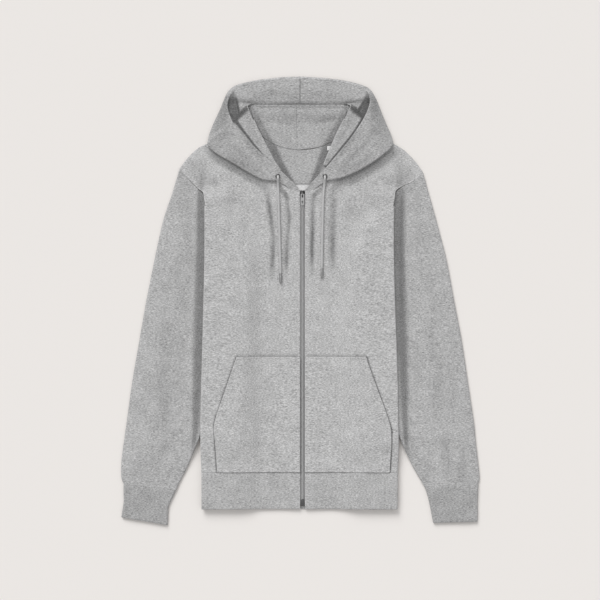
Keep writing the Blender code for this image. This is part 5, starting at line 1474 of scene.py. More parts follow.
def hood_back_cage(side):
    """Inside of the hood's back on one side of its seam, its top edge folded under."""
    lines = HOOD_BACK[side]
    low_seam, top_seam = lines["seam"]
    top_side = lines["side"][-1][1:]
    reach = FLAP_ROLL + CLOTH / 2
    upward = [0.0, 0.2, 0.4, 0.58, 0.7, 0.8, 0.9, 1.0]
    plan = patch(
        lambda u: at_key(lines["neck"], u),
        lambda u: mix((top_seam[0], top_seam[1] - reach), (top_side[0], top_side[1] - reach), u),
        lambda v: mix(low_seam, (top_seam[0], top_seam[1] - reach), v),
        lambda v: at_key([row if row[0] < 1 else (1.0, top_side[0], top_side[1] - reach)
                          for row in lines["side"]], v),
        [i / 6 for i in range(7)],
        upward,
    )
    rise = HOOD_BACK_HIGH - HOOD_BACK_LOW
    rows = [[(x, y, HOOD_BACK_LOW + rise * ease(*HOOD_BACK_RISE, y)) for x, y in row]
            for row in plan]
    low = HOOD_BACK_HIGH - 2 * FLAP_ROLL
    top = rows[-1]
    turns = [half_turn(point, low, (0.0, 1.0), TURN_STEPS) for point in top]
    rows += [[turn[i] for turn in turns] for i in range(TURN_STEPS - 1)]
    return rows + [[(x, y - back, low) for x, y, _ in top] for back in (0.0, HOOD_BACK_TURN)]


for side, word in SIDES:
    lay_cloth(f"lining_{word}_cloth", [flap_row(side, step) for step in FLAP_STEPS], (2.0, 2.4),
              LINING_CREASES[side], LINING_PAINTED_SHADES[side], rough=0.35, seed=2.0 * side)
    lay_cloth(f"hood_inside_{word}_cloth", hood_back_cage(side), (2.6, 2.8), BACK_CREASES[side],
              INSIDE_PAINTED_SHADES[side], inset=-0.2, rough=0.3, seed=4.0 * side)

# %% [markdown]
# Inside the back neck a half-moon patch of single jersey covers the seam, and a small blank tab
# of white tape is caught in the seam beside it.

# %% Neck patch and size tab
NECK_PATCH = [
    # (y at the side, left x, right x, how far the middle hangs below the sides)
    (319.2, -75, 74, 24.4), (303, -72, 70, 14), (283, -61, 60, 6), (258, -47, 48, 1.5),
    (239, -33, 36, 0), (229.8, -22, 27, 0),
]


def neck_patch_cage():
    """The half-moon's points, row under row from the neck seam down."""
    z = CLOTH + GAP + FACING / 2
    rows = []
    for y, left, right, hang in NECK_PATCH:
        rows.append([(left + (right - left) * i / 8,
                      y - hang * (1 - (i / 4 - 1) ** 2), z) for i in range(9)])
    return rows


lay_cloth("neck_patch_cloth", neck_patch_cage(), (2.6, 2.6), [],
          INSIDE_PAINTED_SHADES[-1] + INSIDE_PAINTED_SHADES[1], thick=FACING, inset=-0.3, rough=0.0)
TAB_ACROSS = (50.4, 53.0, 55.8, 58.5, 61.1)
TAB_UP = ((294.9, 0.45), (296.5, 0.3), (299.0, 0.1), (301.5, 0.0), (303.2, 0.0))  # (y, lift)
tab_rows = [
    [(x, y, CLOTH + FACING + 2 * GAP + 0.25 + lift + 0.12 * math.sin(x)) for x in TAB_ACROSS]
    for y, lift in TAB_UP
]
wall("size_tab_cloth", finer(tab_rows, 0.9, 0.9), 0.5)
print("the tab is", round(TAB_ACROSS[-1] - TAB_ACROSS[0], 1), "mm wide")

# %% [markdown]
# The zip is two woven tapes with a row of teeth on each, meshed up to the slider. A tooth is
# modelled once. Geometry Nodes set it along a line at the right pitch, and the second row sits
# half a pitch on, so the teeth of both rows interlock.

# %% Zip tapes
TAPE_HALF = 12.5
TAPE = 0.8
TAPE_Z = 3.1
CHAIN_HIGH = 2.0
SLIDER_TOP = 216.0
SLIDER_LONG = 15.6
STOP_TOP = -387.0
for side, word in SIDES:
    cage = [[(ZIP_X + side * x, y, TAPE_Z) for x in (0.15, 1.2, 3.4, 6.0, TAPE_HALF)]
            for y in (ZIP_BOTTOM, -100.0, 100.0, ZIP_TOP)]
    wall(f"tape_{word}", finer(cage, 1.6, 6.0), TAPE, inset=0.4)
print("each tape is", ZIP_TOP - ZIP_BOTTOM, "mm long")

# %% [markdown]
# A moulded tooth is a flat bar with a head that widens past the middle of the zip, so that the
# two rows can't be pulled apart. Its outline is drawn once and raised, with a narrower top.

# %% Zip teeth
TOOTH_PITCH = 2.3
TOOTH_MIDDLE = 1.1  # the place across a tooth that its top narrows toward
TOOTH_PROFILE = [
    # (from the tape's side toward the middle, half length along the zip)
    (2.9, 0.62), (1.5, 0.62), (0.8, 0.46), (0.3, 0.5), (-0.2, 0.66), (-0.55, 0.6), (-0.75, 0.3),
]


def tooth(side):
    """One moulded tooth: a flat bar with a rounded head that reaches over the middle."""
    work = bmesh.new()
    outline = TOOTH_PROFILE + [(x, -y) for x, y in TOOTH_PROFILE[::-1]]
    rings = []
    for z, shrink in ((0.0, 1.0), (0.78, 1.0), (1.0, 0.82)):
        rings.append([work.verts.new((
            (TOOTH_MIDDLE + (x - TOOTH_MIDDLE) * shrink) * side * MM, y * shrink * MM,
            z * CHAIN_HIGH * MM)) for x, y in outline])
    join_rings(work, rings)
    return put("tooth", mesh_of("tooth", work))


teeth_tree, given = new_tree("set teeth", {"Pitch": TOOTH_PITCH * MM})
named_input(teeth_tree, "Tooth", "NodeSocketObject")
shape = add_node(teeth_tree, "GeometryNodeObjectInfo",
                 {0: given.outputs["Tooth"], "As Instance": True})
spread = add_node(teeth_tree, "GeometryNodeInstanceOnPoints",
                  {"Points": stops_along(teeth_tree, given, "Pitch"),
                   "Instance": shape.outputs["Geometry"]})
finish_tree(teeth_tree, spread.outputs[0], given.outputs["Material"])


def line_piece(name, paths, ups=None):
    """An object of plain lines, one for each path of points in metres."""
    mesh = bpy.data.meshes.new(name)
    points, edges = [], []
    for path in paths:
        edges += [(len(points) + i, len(points) + i + 1) for i in range(len(path) - 1)]
        points += [tuple(point) for point in path]
    mesh.from_pydata(points, edges, [])
    if ups is not None:
        mesh.attributes.new("up", "FLOAT_VECTOR", "POINT").data.foreach_set(
            "vector", np.asarray(ups, np.float32).ravel())
    return add_piece(name, mesh)


TEETH_BASE = TAPE_Z + TAPE / 2 + GAP
for side, word in SIDES:
    shape = tooth(side)
    start = STOP_TOP + 1.2 + (TOOTH_PITCH / 2 if side > 0 else 0.0)
    count = int((SLIDER_TOP - SLIDER_LONG - 1.0 - start) / TOOTH_PITCH)
    ends = [(ZIP_X, start, TEETH_BASE), (ZIP_X, start + count * TOOTH_PITCH + 0.001, TEETH_BASE)]
    row = line_piece(f"teeth_{word}", [to_world(ends)])
    grow(row, teeth_tree, Tooth=shape)
    bpy.data.objects.remove(shape)
    print(row.name, "has", count + 1, "teeth,", len(row.data.polygons), "faces")

# %% [markdown]
# The hardware is small and hard. The slider is a shield-shaped body with an arched bridge over
# it, the pull is a stamped plate that turns about the bridge, and the eyelets are turned rings.
# Soft edges matter most on metal, because they are what catches the light.

# %% Slider, pull, stop and eyelets
SLIDER_SHIELD = [
    # (half width, along the zip from the slider's foot)
    (0, 0), (2.6, 0), (3.4, 0.5), (3.7, 2), (3.8, 5), (4.4, 9), (4.7, 12), (4.5, 14.4),
    (3.6, 15.4), (1.6, 15.6), (0, 14.6),
]
SLIDER_FLANK = [
    # (half width, along), the wall that joins the two plates on each side
    (3, 0.6), (3.7, 0.6), (4.4, 9), (4.4, 14), (3.6, 14), (3.6, 9),
]
SLIDER_PLATES = ((3.8, 4.5), (5.5, 6.8))  # lowest and highest of the lower and the upper plate
BRIDGE_Y = 208.7  # middle of the bridge that holds the pull
BRIDGE_HALF, BRIDGE_FOOT, BRIDGE_RISE = 4.3, 6.7, 3.55
BRIDGE_STEPS = 14
BRIDGE_SECTION = [
    # (across, share of half its thickness), rounded at its edges
    (-0.7, -1), (-0.45, -1.1), (0.45, -1.1), (0.7, -1), (0.7, 1), (0.45, 1.1), (-0.45, 1.1),
    (-0.7, 1),
]


def soften(work, width):
    """Rounds the sharp edges of a hard piece."""
    sharp = [edge for edge in work.edges if len(edge.link_faces) == 2
             and edge.calc_face_angle() > math.radians(35)]
    bmesh.ops.bevel(work, geom=sharp, offset=width * MM, segments=2, profile=0.6,
                    affect="EDGES", clamp_overlap=True)


def hard_piece(name, work):
    mesh = mesh_of(name, work)
    mesh.shade_smooth()
    return add_piece(name, mesh)


def prism(work, outline, low, high):
    """A closed block between two heights, in world metres."""
    join_rings(work, [[work.verts.new(to_world((x, y, z))) for x, y in outline]
                      for z in (low, high)])


def slider_piece():
    """The slider's two plates, the post between them and the bridge on top."""
    foot = SLIDER_TOP - SLIDER_LONG
    right = [(ZIP_X + x, foot + y) for x, y in SLIDER_SHIELD]
    left = [(ZIP_X - x, foot + y) for x, y in SLIDER_SHIELD[1:-1]][::-1]
    work = bmesh.new()
    for low, high in SLIDER_PLATES:
        prism(work, right + left, low, high)
    for flank in (-1, 1):
        prism(work, [(ZIP_X + flank * x, foot + y) for x, y in SLIDER_FLANK], 4.3, 5.7)
    soften(work, 0.3)
    arch = []
    for i in range(BRIDGE_STEPS + 1):
        angle = math.pi * i / BRIDGE_STEPS
        arch.append((BRIDGE_Y + BRIDGE_HALF * math.cos(angle),
                     BRIDGE_FOOT + BRIDGE_RISE * math.sin(angle) ** 0.6))
    rings = []
    for i, (y, z) in enumerate(arch):
        before, after = arch[max(0, i - 1)], arch[min(BRIDGE_STEPS, i + 1)]
        way = Vector((after[0] - before[0], after[1] - before[1])).normalized()
        out = (way.y * 0.5, -way.x * 0.5)
        rings.append([work.verts.new(to_world((ZIP_X + x, y + out[0] * s, z + out[1] * s)))
                      for x, s in BRIDGE_SECTION])
    join_rings(work, rings)
    return hard_piece("slider", work)


def from_solid(name, node, width):
    """A hard piece with the solid's own shape and rounded edges."""
    work = bmesh.new()
    work.from_mesh(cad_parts[node].data)
    bmesh.ops.remove_doubles(work, verts=work.verts, dist=1e-6)
    bmesh.ops.dissolve_limit(work, angle_limit=math.radians(2), verts=work.verts, edges=work.edges)
    soften(work, width)
    bmesh.ops.triangulate(work, faces=[face for face in work.faces if len(face.verts) > 4])
    return hard_piece(name, work)


EYELET_PROFILE = [
    # (radius, height over the hood)
    (2.7, -0.5), (4.6, -0.1), (4.8, 0.1), (4.78, 0.35), (4.5, 0.7), (4.05, 0.98), (3.6, 1.12),
    (3.2, 1.12), (2.9, 0.98), (2.72, 0.7), (2.7, 0.3),
]
EYELET_SIDES = 36
EYELETS = {-1: (-46.0, 243.6, 10.5, -0.213, 0.144), 1: (46.2, 243.6, 9.45, 0.136, 0.157)}


def eyelet_piece(side, word):
    """A turned ring that lies in the slope of the hood."""
    x, y, z, climb_x, climb_y = EYELETS[side]
    up = Vector((-climb_x, -climb_y, 1.0)).normalized()
    across = up.cross(Vector((0.0, 1.0, 0.0))).normalized()
    other = up.cross(across)
    work = bmesh.new()
    rings = []
    for i in range(EYELET_SIDES):
        angle = 2 * math.pi * i / EYELET_SIDES
        way = across * math.cos(angle) + other * math.sin(angle)
        rings.append([work.verts.new(to_world(Vector((x, y, z)) + way * r + up * h))
                      for r, h in EYELET_PROFILE])
    join_rings(work, rings, closed=True)
    return hard_piece(f"eyelet_ring_{word}", work)


slider_piece()
from_solid("pull", "zip_pull", 0.3)
from_solid("stop", "zip_stop", 0.35)
for side, word in SIDES:
    eyelet_piece(side, word)
print("hardware:", ", ".join(("slider", "pull", "stop", "eyelets")))

# %% [markdown]
# Rows of stitches hold every seam. Each row is drawn once as a line, then laid on the cloth by
# dropping its points onto the pieces below. Geometry Nodes walk along the lines and set a small
# stretched bead for each stitch, turned along the seam and lying in the cloth's own slope.

# %% Stitch tree
stitch_tree, given = new_tree("set stitches", {
    "Stitch Pitch": 3.1 * MM, "Stitch Length": 2.3 * MM, "Thread": 0.6 * MM,
})
size = add_node(stitch_tree, "ShaderNodeCombineXYZ", {
    0: given.outputs["Stitch Length"], 1: given.outputs["Thread"], 2: given.outputs["Thread"]})
bead = add_node(stitch_tree, "GeometryNodeMeshUVSphere",
                {"Segments": 6, "Rings": 4, "Radius": 0.5})
tangent = add_node(stitch_tree, "GeometryNodeInputTangent").outputs[0]
up = add_node(stitch_tree, "GeometryNodeInputNamedAttribute", {"Name": "up"},
              data_type="FLOAT_VECTOR").outputs[0]
along = add_node(stitch_tree, "FunctionNodeAlignRotationToVector", {"Vector": tangent}, axis="X")
lie = add_node(stitch_tree, "FunctionNodeAlignRotationToVector",
               {"Rotation": along.outputs[0], "Vector": up}, axis="Z", pivot_axis="X")
spread = add_node(stitch_tree, "GeometryNodeInstanceOnPoints", {
    "Points": stops_along(stitch_tree, given, "Stitch Pitch"),
    "Instance": bead.outputs["Mesh"], "Rotation": lie.outputs[0], "Scale": size.outputs[0]})
finish_tree(stitch_tree, spread.outputs[0], given.outputs["Material"])
print("stitch tree has", len(stitch_tree.nodes), "nodes")


# %% [markdown]
# A machine sews through whatever lies under its needle, so a row's height isn't drawn by hand. A
# ray from above, or from below for the back, finds the cloth and its slope at close steps.

# %% Lay a row on the cloth
LAY_STEP = 1.5
UNDER_ALL, OVER_ALL = -30.0, 60.0  # heights clear of every layer, where the rays start


def skin(*names):
    """What a row of stitches is dropped onto."""
    return [BVHTree.FromPolygons([v.co for v in pieces[name].data.vertices],
                                 [p.vertices for p in pieces[name].data.polygons])
            for name in names]


def lay(route, skins, below=False, sink=0.1):
    """A route's points on the first cloth met from above, or from below, and the cloth's lean."""
    points, ups = [], []
    way = Vector((0.0, 0.0, 1.0 if below else -1.0))
    close = []
    for (ax, ay), (bx, by) in zip(route, route[1:]):
        count = max(1, int(math.dist((ax, ay), (bx, by)) / LAY_STEP))
        close += [mix((ax, ay), (bx, by), k / count) for k in range(count)]
    close.append(route[-1])
    for x, y in close:
        start = Vector(to_world((x, y, UNDER_ALL if below else OVER_ALL)))
        met = [hit for hit in (tree.ray_cast(start, way) for tree in skins) if hit[0]]
        if not met:
            continue
        spot, normal = min(met, key=lambda hit: hit[3])[:2]
        points.append(spot - normal * sink * MM)
        ups.append(normal)
    return points, ups


def stitch_row(name, rows, **sizes):
    """Rows of stitches as one piece."""
    rows = [row for row in rows if len(row[0]) > 2]
    piece = line_piece(name, [row[0] for row in rows], [up for row in rows for up in row[1]])
    grow(piece, stitch_tree, **sizes)
    print(name, "has", len(piece.data.polygons) // 24, "stitches")
    return piece


# %% [markdown]
# The rows follow the tables of edges, each a few millimetres inside its edge: down both sides of
# the zip, round the pockets, above the hem and the cuffs, along the armholes, the neck, the
# shoulders and the hood's channel for the cord.

# %% Rows of stitches
def inset_line(points, inward):
    """A line beside another, on its left where inward is above zero."""
    moved = []
    for i, (x, y) in enumerate(points):
        before, after = points[max(0, i - 1)], points[min(len(points) - 1, i + 1)]
        long = math.dist(before, after)
        moved.append((x - (after[1] - before[1]) / long * inward,
                      y + (after[0] - before[0]) / long * inward))
    return moved


def smooth_route(table, start, stop, steps=24):
    """Points along a table's curve between two values of its first column."""
    return [at_key(table, start + (stop - start) * i / steps)[:2] for i in range(steps + 1)]


CHANNEL_IN = 24.0  # from the hood's front edge to the stitches of its cord channel
CHANNEL_FROM, CHANNEL_LONG = 2.2, 10.6  # the hood's section where they start, and how many on
CHANNEL_POINTS = 40
for side, word in SIDES:
    over = skin(f"front_{word}_cloth", f"pocket_{word}_cloth", "hem_rib_cloth")
    stitched = ZIP_X + side * (ZIP_HALF_GAP + STITCH_IN)
    pocket_edge = [(x - side * POCKET_STITCH, y) for y, x in POCKETS[side][::-1]]
    corner = (pocket_edge[0][0], POCKET_STITCH_Y)
    neck = smooth_route(FRONT_TOP[side], 0.028, 0.24)
    shoulder = smooth_route(FRONT_TOP[side], 0.7, 0.985)
    armhole = [(x, y) for _, x, y in FRONT_SIDE[side][2:]]
    edge_y = HEM_SEAM + 4.4
    stitch_row(f"front_stitches_{word}", [
        lay([(stitched, 213.0), (stitched, -403.0)], over),
        lay([(stitched + side * 2, edge_y), (body_edge(side, edge_y) - side * 1.5, edge_y)], over),
        lay([(stitched, POCKET_STITCH_Y), corner], over),
        lay([corner, *pocket_edge[1:-1], (pocket_edge[-1][0], -331.0)], over),
        lay(inset_line(neck, side * -3.2), over),
        lay(inset_line(shoulder, side * -3.2), over),
        lay(inset_line(armhole, side * 3.4), over),
    ])
    over = skin(f"sleeve_{word}_cloth")
    rows = []
    for below in (False, True):
        table = SLEEVES[side]
        outer, inner = at_step(table, 0.27)[:2], at_step(table, 0.27)[2:4]
        rows.append(lay([mix(outer, inner, 0.012), mix(outer, inner, 0.988)], over, below))
    stitch_row(f"cuff_stitches_{word}", rows)
    channel = []
    for i in range(CHANNEL_POINTS):
        section = hood_section(side, CHANNEL_FROM + CHANNEL_LONG * i / (CHANNEL_POINTS - 1))
        edge, fold = section[0], section[3]
        long = math.dist(edge[:2], fold[:2])
        if long > CHANNEL_IN + 3.0:
            channel.append(mix(edge[:2], fold[:2], CHANNEL_IN / long))
    stitch_row(f"channel_stitches_{word}", [lay(channel, skin(f"hood_{word}_cloth"), sink=0.2)])

below_hem = skin("back_cloth")
ends = [(body_edge(side, HEM_STITCH_Y) - side * 6.0, HEM_STITCH_Y) for side in (-1, 1)]
stitch_row("back_stitches", [lay(ends, below_hem, True)])
patch_low = [(left + (right - left) * i / 8, y + 3.0)
             for y, left, right, _ in NECK_PATCH[-1:] for i in range(1, 8)]
stitch_row("patch_stitches", [lay(patch_low, skin("neck_patch_cloth"))])

# %% [markdown]
# A pocket's hand opening is pulled at each time the garment is worn, so both of its ends are
# held by a bar tack: a short, very close row of stitches across the edge.

# %% Bar tacks
for side, word in SIDES:
    over = skin(f"front_{word}_cloth", f"pocket_{word}_cloth")
    tacks = []
    for y, x in (POCKETS[side][2], POCKETS[side][-1]):
        y = min(y, -111.4)
        tacks.append(lay([(x - side * 0.8, y), (x - side * 7.0, y)], over, sink=0.0))
    stitch_row(f"tacks_{word}", tacks, **{"Stitch Pitch": 0.62 * MM, "Stitch Length": 1.0 * MM,
                                          "Thread": 1.9 * MM})

# %% [markdown]
# Heather fleece is knitted from a yarn that mixes pale and dark fibres, so its grey is a fine
# mottle that runs along the rows of loops. Noise at three sizes gives the mottle. A wave across
# and a slanted wave along the cloth's own length map give the columns of knit loops.

# %% Cloth materials
class Shader:
    """A short way to write a material's nodes."""

    def __init__(self, name, roughness=0.9, metallic=0.0, **fixed):
        self.material = bpy.data.materials.new(name)
        self.material.use_nodes = True
        self.tree = self.material.node_tree
        self.surface = self.tree.nodes["Principled BSDF"]
        self.surface.inputs["Roughness"].default_value = roughness
        self.surface.inputs["Metallic"].default_value = metallic
        for label, value in fixed.items():
            self.surface.inputs[label.replace("_", " ")].default_value = value

    def node(self, kind, inputs=None, **settings):
        return add_node(self.tree, kind, inputs, **settings)

    def maths(self, how, *values):
        return maths(self.tree, how, *values)

    def wave(self, value, speed):
        return self.maths("SINE", self.maths("MULTIPLY", value, speed))

    def across_and_along(self, source):
        """Millimetres across and along a piece, by its length map."""
        return self.node("ShaderNodeSeparateXYZ", {0: self.place(source, (1.0,) * 3)}).outputs[:2]

    def place(self, source, scale, turn=0.0):
        """A pattern's own coordinates, stretched and turned."""
        if source == "cloth":
            base = self.node("ShaderNodeUVMap", uv_map="cloth").outputs[0]
        else:
            base = self.node("ShaderNodeTexCoord").outputs["Object"]
        return self.node("ShaderNodeMapping", {"Vector": base, "Scale": scale,
                                               "Rotation": (0.0, 0.0, turn)}).outputs[0]

    def noise(self, place, size, detail=2.0, roughness=0.5):
        return self.node("ShaderNodeTexNoise", {
            "Vector": place, "Scale": size, "Detail": detail, "Roughness": roughness,
        }).outputs["Fac"]

    def ramp(self, value, *stops):
        node = self.node("ShaderNodeValToRGB", {"Fac": value})
        band = node.color_ramp
        while len(band.elements) < len(stops):
            band.elements.new(0.5)
        for element, (position, colour) in zip(band.elements, stops):
            element.position = position
            element.color = (*colour, 1.0)
        return node.outputs["Color"]

    def feed(self, label, value):
        self.tree.links.new(value, self.surface.inputs[label])

    def greys(self, value, low, dark, high, light):
        """The finish's colour: one grey below a value, another above it, blended between."""
        self.feed("Base Color", self.ramp(value, (low, grey(dark)), (high, grey(light))))

    def bump(self, height, deep, strength=1.0):
        node = self.node("ShaderNodeBump", {"Height": height, "Distance": deep * MM,
                                            "Strength": strength})
        self.feed("Normal", node.outputs[0])


WEAR = 900.0  # how fine the wear on metal is
WALE = 1.25  # from one column of knit loops to the next
COURSE = 1.0  # from one row of loops to the next
STRANDS = 6  # of each set, round a cord


def grey(value):
    return (value * 1.004, value, value)


def heather(name, dark, light, fuzz, loops=1.0, source="cloth"):
    """Heather fleece or rib: mottled grey with knit loops, a soft nap and painted shade."""
    cloth = Shader(name, 0.95, Sheen_Weight=fuzz, Sheen_Roughness=0.55,
                   Specular_IOR_Level=0.18)
    flecks = cloth.noise(cloth.place("object", (240.0, 1000.0, 900.0)), 1.0, 3.0, 0.62)
    fibres = cloth.noise(cloth.place("object", (800.0, 2000.0, 1500.0), 0.25), 1.0, 2.0, 0.6)
    broad = cloth.noise(cloth.place("object", (35.0, 50.0, 50.0)), 1.0, 2.0, 0.5)
    total = cloth.maths("MULTIPLY_ADD", fibres, 0.30, cloth.maths("MULTIPLY", flecks, 0.70))
    total = cloth.maths("MULTIPLY_ADD", broad, 0.08, total)
    tone = cloth.ramp(total, (0.375, grey(dark)), (0.705, grey(light)))
    # Painted shade: the point value darkens the mottled grey toward black in creases and where
    # cloth runs under another layer.
    painted_shade = cloth.node("ShaderNodeAttribute", attribute_name="painted_shade").outputs["Fac"]
    cloth.feed("Base Color", cloth.node("ShaderNodeMix", {
        0: painted_shade, 6: tone, 7: (0.0, 0.0, 0.0, 1.0)}, data_type="RGBA").outputs[2])
    across, along = cloth.across_and_along(source)
    column = cloth.maths("MULTIPLY", across, 1.0 / WALE)
    bow = cloth.maths("ABSOLUTE", cloth.maths("SUBTRACT", cloth.maths("FRACT", column), 0.5))
    row = cloth.maths("ADD", cloth.maths("MULTIPLY", along, 1.0 / COURSE), bow)
    ridge = cloth.maths("ABSOLUTE", cloth.wave(column, math.pi))
    loop = cloth.maths("MULTIPLY_ADD", cloth.wave(row, 2 * math.pi), 0.3, 0.7)
    height = cloth.maths("MULTIPLY_ADD", cloth.maths("MULTIPLY", ridge, loop), 0.55 * loops,
                         cloth.maths("MULTIPLY", fibres, 0.9))
    cloth.bump(height, 0.32)
    return cloth.material


def braid(name, dark, light):
    """A braided cord: two sets of strands that cross on a slant round the cord."""
    cord = Shader(name, 0.85, Sheen_Weight=0.25, Sheen_Roughness=0.4, Specular_IOR_Level=0.25)
    across, along = cord.across_and_along("cloth")
    around = 2 * math.pi * STRANDS / (math.pi * CORD)
    strands = []
    for way in (-1.0, 1.0):
        slant = cord.maths("MULTIPLY", along, 2.6)
        slant = cord.maths("MULTIPLY_ADD", across, around * way, slant)
        strands.append(cord.maths("SINE", slant))
    height = cord.maths("MAXIMUM", *strands)
    soft = cord.noise(cord.place("cloth", (1.2, 1.2, 1.0)), 1.0, 3.0)
    # Painted shade and light: the braid's height sets part of its colour, so the grooves between
    # strands are darker and the crests lighter.
    tone = cord.maths("MULTIPLY_ADD", height, 0.3, cord.maths("MULTIPLY", soft, 0.9))
    cord.greys(tone, 0.25, dark, 0.75, light)
    cord.bump(height, 0.35)
    return cord.material


def woven(name, dark, light, thread=0.6):
    """A woven tape: fine ribs across it, crossed by the warp."""
    tape = Shader(name, 0.8, Specular_IOR_Level=0.3)
    warp, rows = (tape.wave(value, 2 * math.pi / thread)
                  for value in tape.across_and_along("cloth"))
    weave = tape.maths("MULTIPLY", rows, warp)
    wear = tape.noise(tape.place("cloth", (0.4, 0.4, 1.0)), 1.0, 3.0)
    # Painted shade and light: where the weave stands high the colour is lighter and where it dips
    # darker; the wear noise is the tape's own tone.
    tone = tape.maths("MULTIPLY_ADD", weave, 0.18, wear)
    tape.greys(tone, 0.3, dark, 0.7, light)
    tape.bump(weave, 0.15)
    return tape.material


def metal(name, base, shade, roughness):
    """Plated metal, lightly rubbed, with fine scratches."""
    plate = Shader(name, roughness, 1.0)
    worn = plate.noise(plate.place("object", (1.0, 1.0, 1.0)), WEAR, 4.0, 0.6)
    plate.greys(worn, 0.35, shade, 0.65, base)
    spread = plate.node("ShaderNodeMapRange", {
        "Value": worn, "To Min": roughness * 0.75, "To Max": roughness * 1.35})
    plate.feed("Roughness", spread.outputs[0])
    scratch = plate.noise(plate.place("object", (1.0, 0.12, 1.0), 0.4), WEAR * 3, 2.0)
    plate.bump(scratch, 0.03, 0.6)
    return plate.material


def moulded(name, dark, light):
    """Moulded plastic teeth with a fine grain."""
    plastic = Shader(name, 0.42, Specular_IOR_Level=0.5)
    grain = plastic.noise(plastic.place("object", (1.0, 1.0, 1.0)), 1500.0, 3.0)
    plastic.greys(grain, 0.3, dark, 0.7, light)
    plastic.bump(grain, 0.03, 0.5)
    return plastic.material


# Painted shade and light: the sleeves, hood and cuffs take darker copies of the fleece and the
# rib, and the hem a lighter copy of the rib, though each is the same cloth, so that each part
# renders at its own brightness.
looks = {
    "fleece": heather("heather fleece", 0.165, 0.79, 0.10),
    "sleeve": heather("heather fleece painted darker for the sleeves", 0.15, 0.715, 0.10),
    "hood": heather("heather fleece painted darker for the hood", 0.14, 0.69, 0.10),
    "inside": heather("brushed inside", 0.50, 0.84, 0.3, loops=0.2),
    "lining": heather("single jersey", 0.14, 0.69, 0.05),
    "hem": heather("heather rib painted lighter for the hem", 0.15, 0.73, 0.08),
    "rib": heather("heather rib painted darker for the cuffs", 0.11, 0.645, 0.08),
    "cord": braid("braided cord", 0.40, 0.66),
    "thread": heather("grey thread", 0.48, 0.66, 0.0, source="object"),
    "tape": woven("zip tape", 0.40, 0.53),
    "label": woven("white tape", 0.78, 0.88, 0.4),
    "teeth": moulded("zip teeth", 0.37, 0.49),
    "metal": metal("satin nickel", 0.62, 0.5, 0.28),
    "dark": metal("dark nickel", 0.17, 0.1, 0.34),
    "tips": metal("worn nickel", 0.44, 0.32, 0.36),
}
print(len(looks), "finishes")

# %% [markdown]
# Now the ribs are raised, and each piece gets its finish, the body that it rides on and the
# solid that it stands for. Everything but the zip's pull moves as one.

# %% Dress the pieces
for name in ("cuff_left_rib", "cuff_right_rib", "hem_rib_cloth"):
    grow(pieces[name], rib_tree, Pitch=RIB_PITCH, Height=0.25 * MM, Material=looks["rib"])
    print(name, "has", len(pieces[name].data.polygons), "faces with its ribs")


def dress(name, look, slot_name, *nodes, body="garment"):
    """A piece's finish, body and the solids that it stands for, which are hidden; its slot name is
    not used.
    """
    piece = pieces[name]
    piece.data.materials.clear()
    piece.data.materials.append(looks[look])
    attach(piece, body)
    if nodes:
        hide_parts(*nodes)


PAIRS = [
    # (piece, look, slot, solid), on the left and again on the right
    ("front_{}_cloth", "fleece", "fleece", "front_{}"),
    ("pocket_{}_cloth", "fleece", "fleece", "pocket_{}"),
    ("sleeve_{}_cloth", "sleeve", "fleece", "sleeve_{}"),
    ("cuff_{}_rib", "rib", "rib", "cuff_{}"),
    ("hood_{}_cloth", "hood", "fleece", "hood_{}"),
    ("lining_{}_cloth", "lining", "fleece", "hood_lining_{}"),
    ("hood_inside_{}_cloth", "lining", "fleece", "hood_back_{}"),
    ("tape_{}", "tape", "zip tape", "zip_tape_{}"),
    ("teeth_{}", "teeth", "zip teeth", "zip_teeth_{}"),
    ("cord_{}", "cord", "cord", "drawcord_{}"),
    ("tip_{}", "tips", "dark metal", "cord_tip_{}"),
    ("eyelet_ring_{}", "dark", "dark metal", "eyelet_{}"),
]
for _, word in SIDES:
    for name, look, slot_name, node in PAIRS:
        dress(name.format(word), look, slot_name, node.format(word))
    for row in ("front_stitches", "cuff_stitches", "channel_stitches", "tacks"):
        dress(f"{row}_{word}", "thread", "fleece")
dress("back_cloth", "inside", "fleece inside", "back")
dress("hem_rib_cloth", "hem", "rib", "hem_rib")
dress("neck_patch_cloth", "lining", "fleece", "neck_patch")
dress("size_tab_cloth", "label", "label", "size_tab")
for row in ("back_stitches", "patch_stitches"):
    dress(row, "thread", "fleece")
for name in ("slider", "stop"):
    dress(name, "dark", "dark metal", f"zip_{name}")
dress("pull", "metal", "metal", "zip_pull", body="pull")
print(len(pieces), "pieces are dressed")

# %% [markdown]
# Every cut piece of cloth is listed with its real size before it was laid and its own flat area,
# which is printed beside the area that it covers as it lies. The cords' routes are turned into
# points in metres here, and these are not kept.

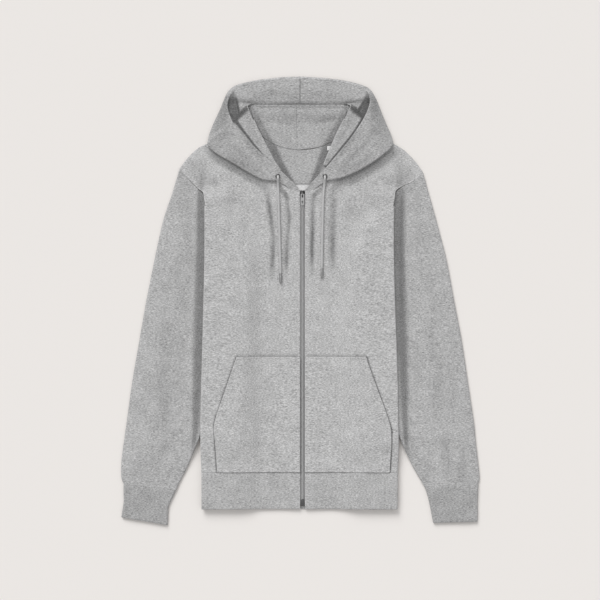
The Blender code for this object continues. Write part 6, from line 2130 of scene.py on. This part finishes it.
# %% Cut sizes of the cloth
for side, word in SIDES:
    to_world(fine_route(side)[0])
    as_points(to_world(fine_route(side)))

CUTS = {
    # piece: (width, length, flat area), each in metres
    "front_left_cloth": (0.264, 0.665, 0.1560),
    "front_right_cloth": (0.256, 0.665, 0.1488),
    "back_cloth": (0.518, 0.665, 0.3120),
    "sleeve_left_cloth": (0.390, 0.630, 0.1715),
    "sleeve_right_cloth": (0.390, 0.625, 0.1725),
    "cuff_left_rib": (0.205, 0.0625, 0.0126),
    "cuff_right_rib": (0.205, 0.0690, 0.0139),
    "hem_rib_cloth": (1.035, 0.0710, 0.0733),
    "pocket_left_cloth": (0.175, 0.225, 0.0350),
    "pocket_right_cloth": (0.175, 0.225, 0.0348),
    "hood_left_cloth": (0.200, 0.290, 0.0366),
    "hood_right_cloth": (0.200, 0.290, 0.0371),
    "lining_left_cloth": (0.066, 0.290, 0.0128),
    "lining_right_cloth": (0.066, 0.280, 0.0120),
    "hood_inside_left_cloth": (0.090, 0.100, 0.0070),
    "hood_inside_right_cloth": (0.098, 0.100, 0.0080),
    "neck_patch_cloth": (0.149, 0.0900, 0.0077),
    "size_tab_cloth": (0.0107, 0.0100, 0.0001),
    "tape_left": (0.0124, 0.617, 0.00763),
    "tape_right": (0.0124, 0.617, 0.00763),
}
for name, (wide, long, area) in CUTS.items():
    mesh = pieces[name].data
    layer = sum(face.area for face in mesh.polygons) / 2
    print(f"{name}: {layer:.5f} m2 of cloth as it lies, cut {area:.5f}")

# %% [markdown]
# The garment lies on a plain pale table. A very broad light stands far off at the upper left, so
# the table is evenly lit and a soft shadow falls down and a little to the right. A second one
# overhead and a little pale light from all round keep the folds soft.

# %% Table and light
TABLE_HALF = 4.0
work = bmesh.new()
bmesh.ops.create_grid(work, x_segments=1, y_segments=1, size=TABLE_HALF)
table_mesh = bpy.data.meshes.new("table")
work.to_mesh(table_mesh)
work.free()
table = put("table", table_mesh)
table.location.z = -0.4 * MM
table_look = Shader("pale table", 0.9, Specular_IOR_Level=0.1)
table_look.surface.inputs["Base Color"].default_value = (0.80, 0.77, 0.745, 1.0)
table_mesh.materials.append(table_look.material)

world = bpy.data.worlds.new("room")
world.use_nodes = True
world.node_tree.nodes["Background"].inputs["Color"].default_value = (1.0, 1.0, 1.0, 1.0)
world.node_tree.nodes["Background"].inputs["Strength"].default_value = 0.44
scene.world = world


def lamp(name, place, spread, strength):
    """A far soft light that shines from a place onto the middle of the garment."""
    data = bpy.data.lights.new(name, "SUN")
    data.angle, data.energy = math.radians(spread), strength
    light = put(name, data)
    light.location = place
    light.rotation_euler = (-Vector(place)).to_track_quat("-Z", "Y").to_euler()


lamp("main light", (-0.42, 1.0, 0.75), 34.0, 2.2)
lamp("overhead light", (0.1, -0.1, 2.0), 120.0, 0.62)
scene.view_settings.view_transform = "Standard"
print("lights are set")
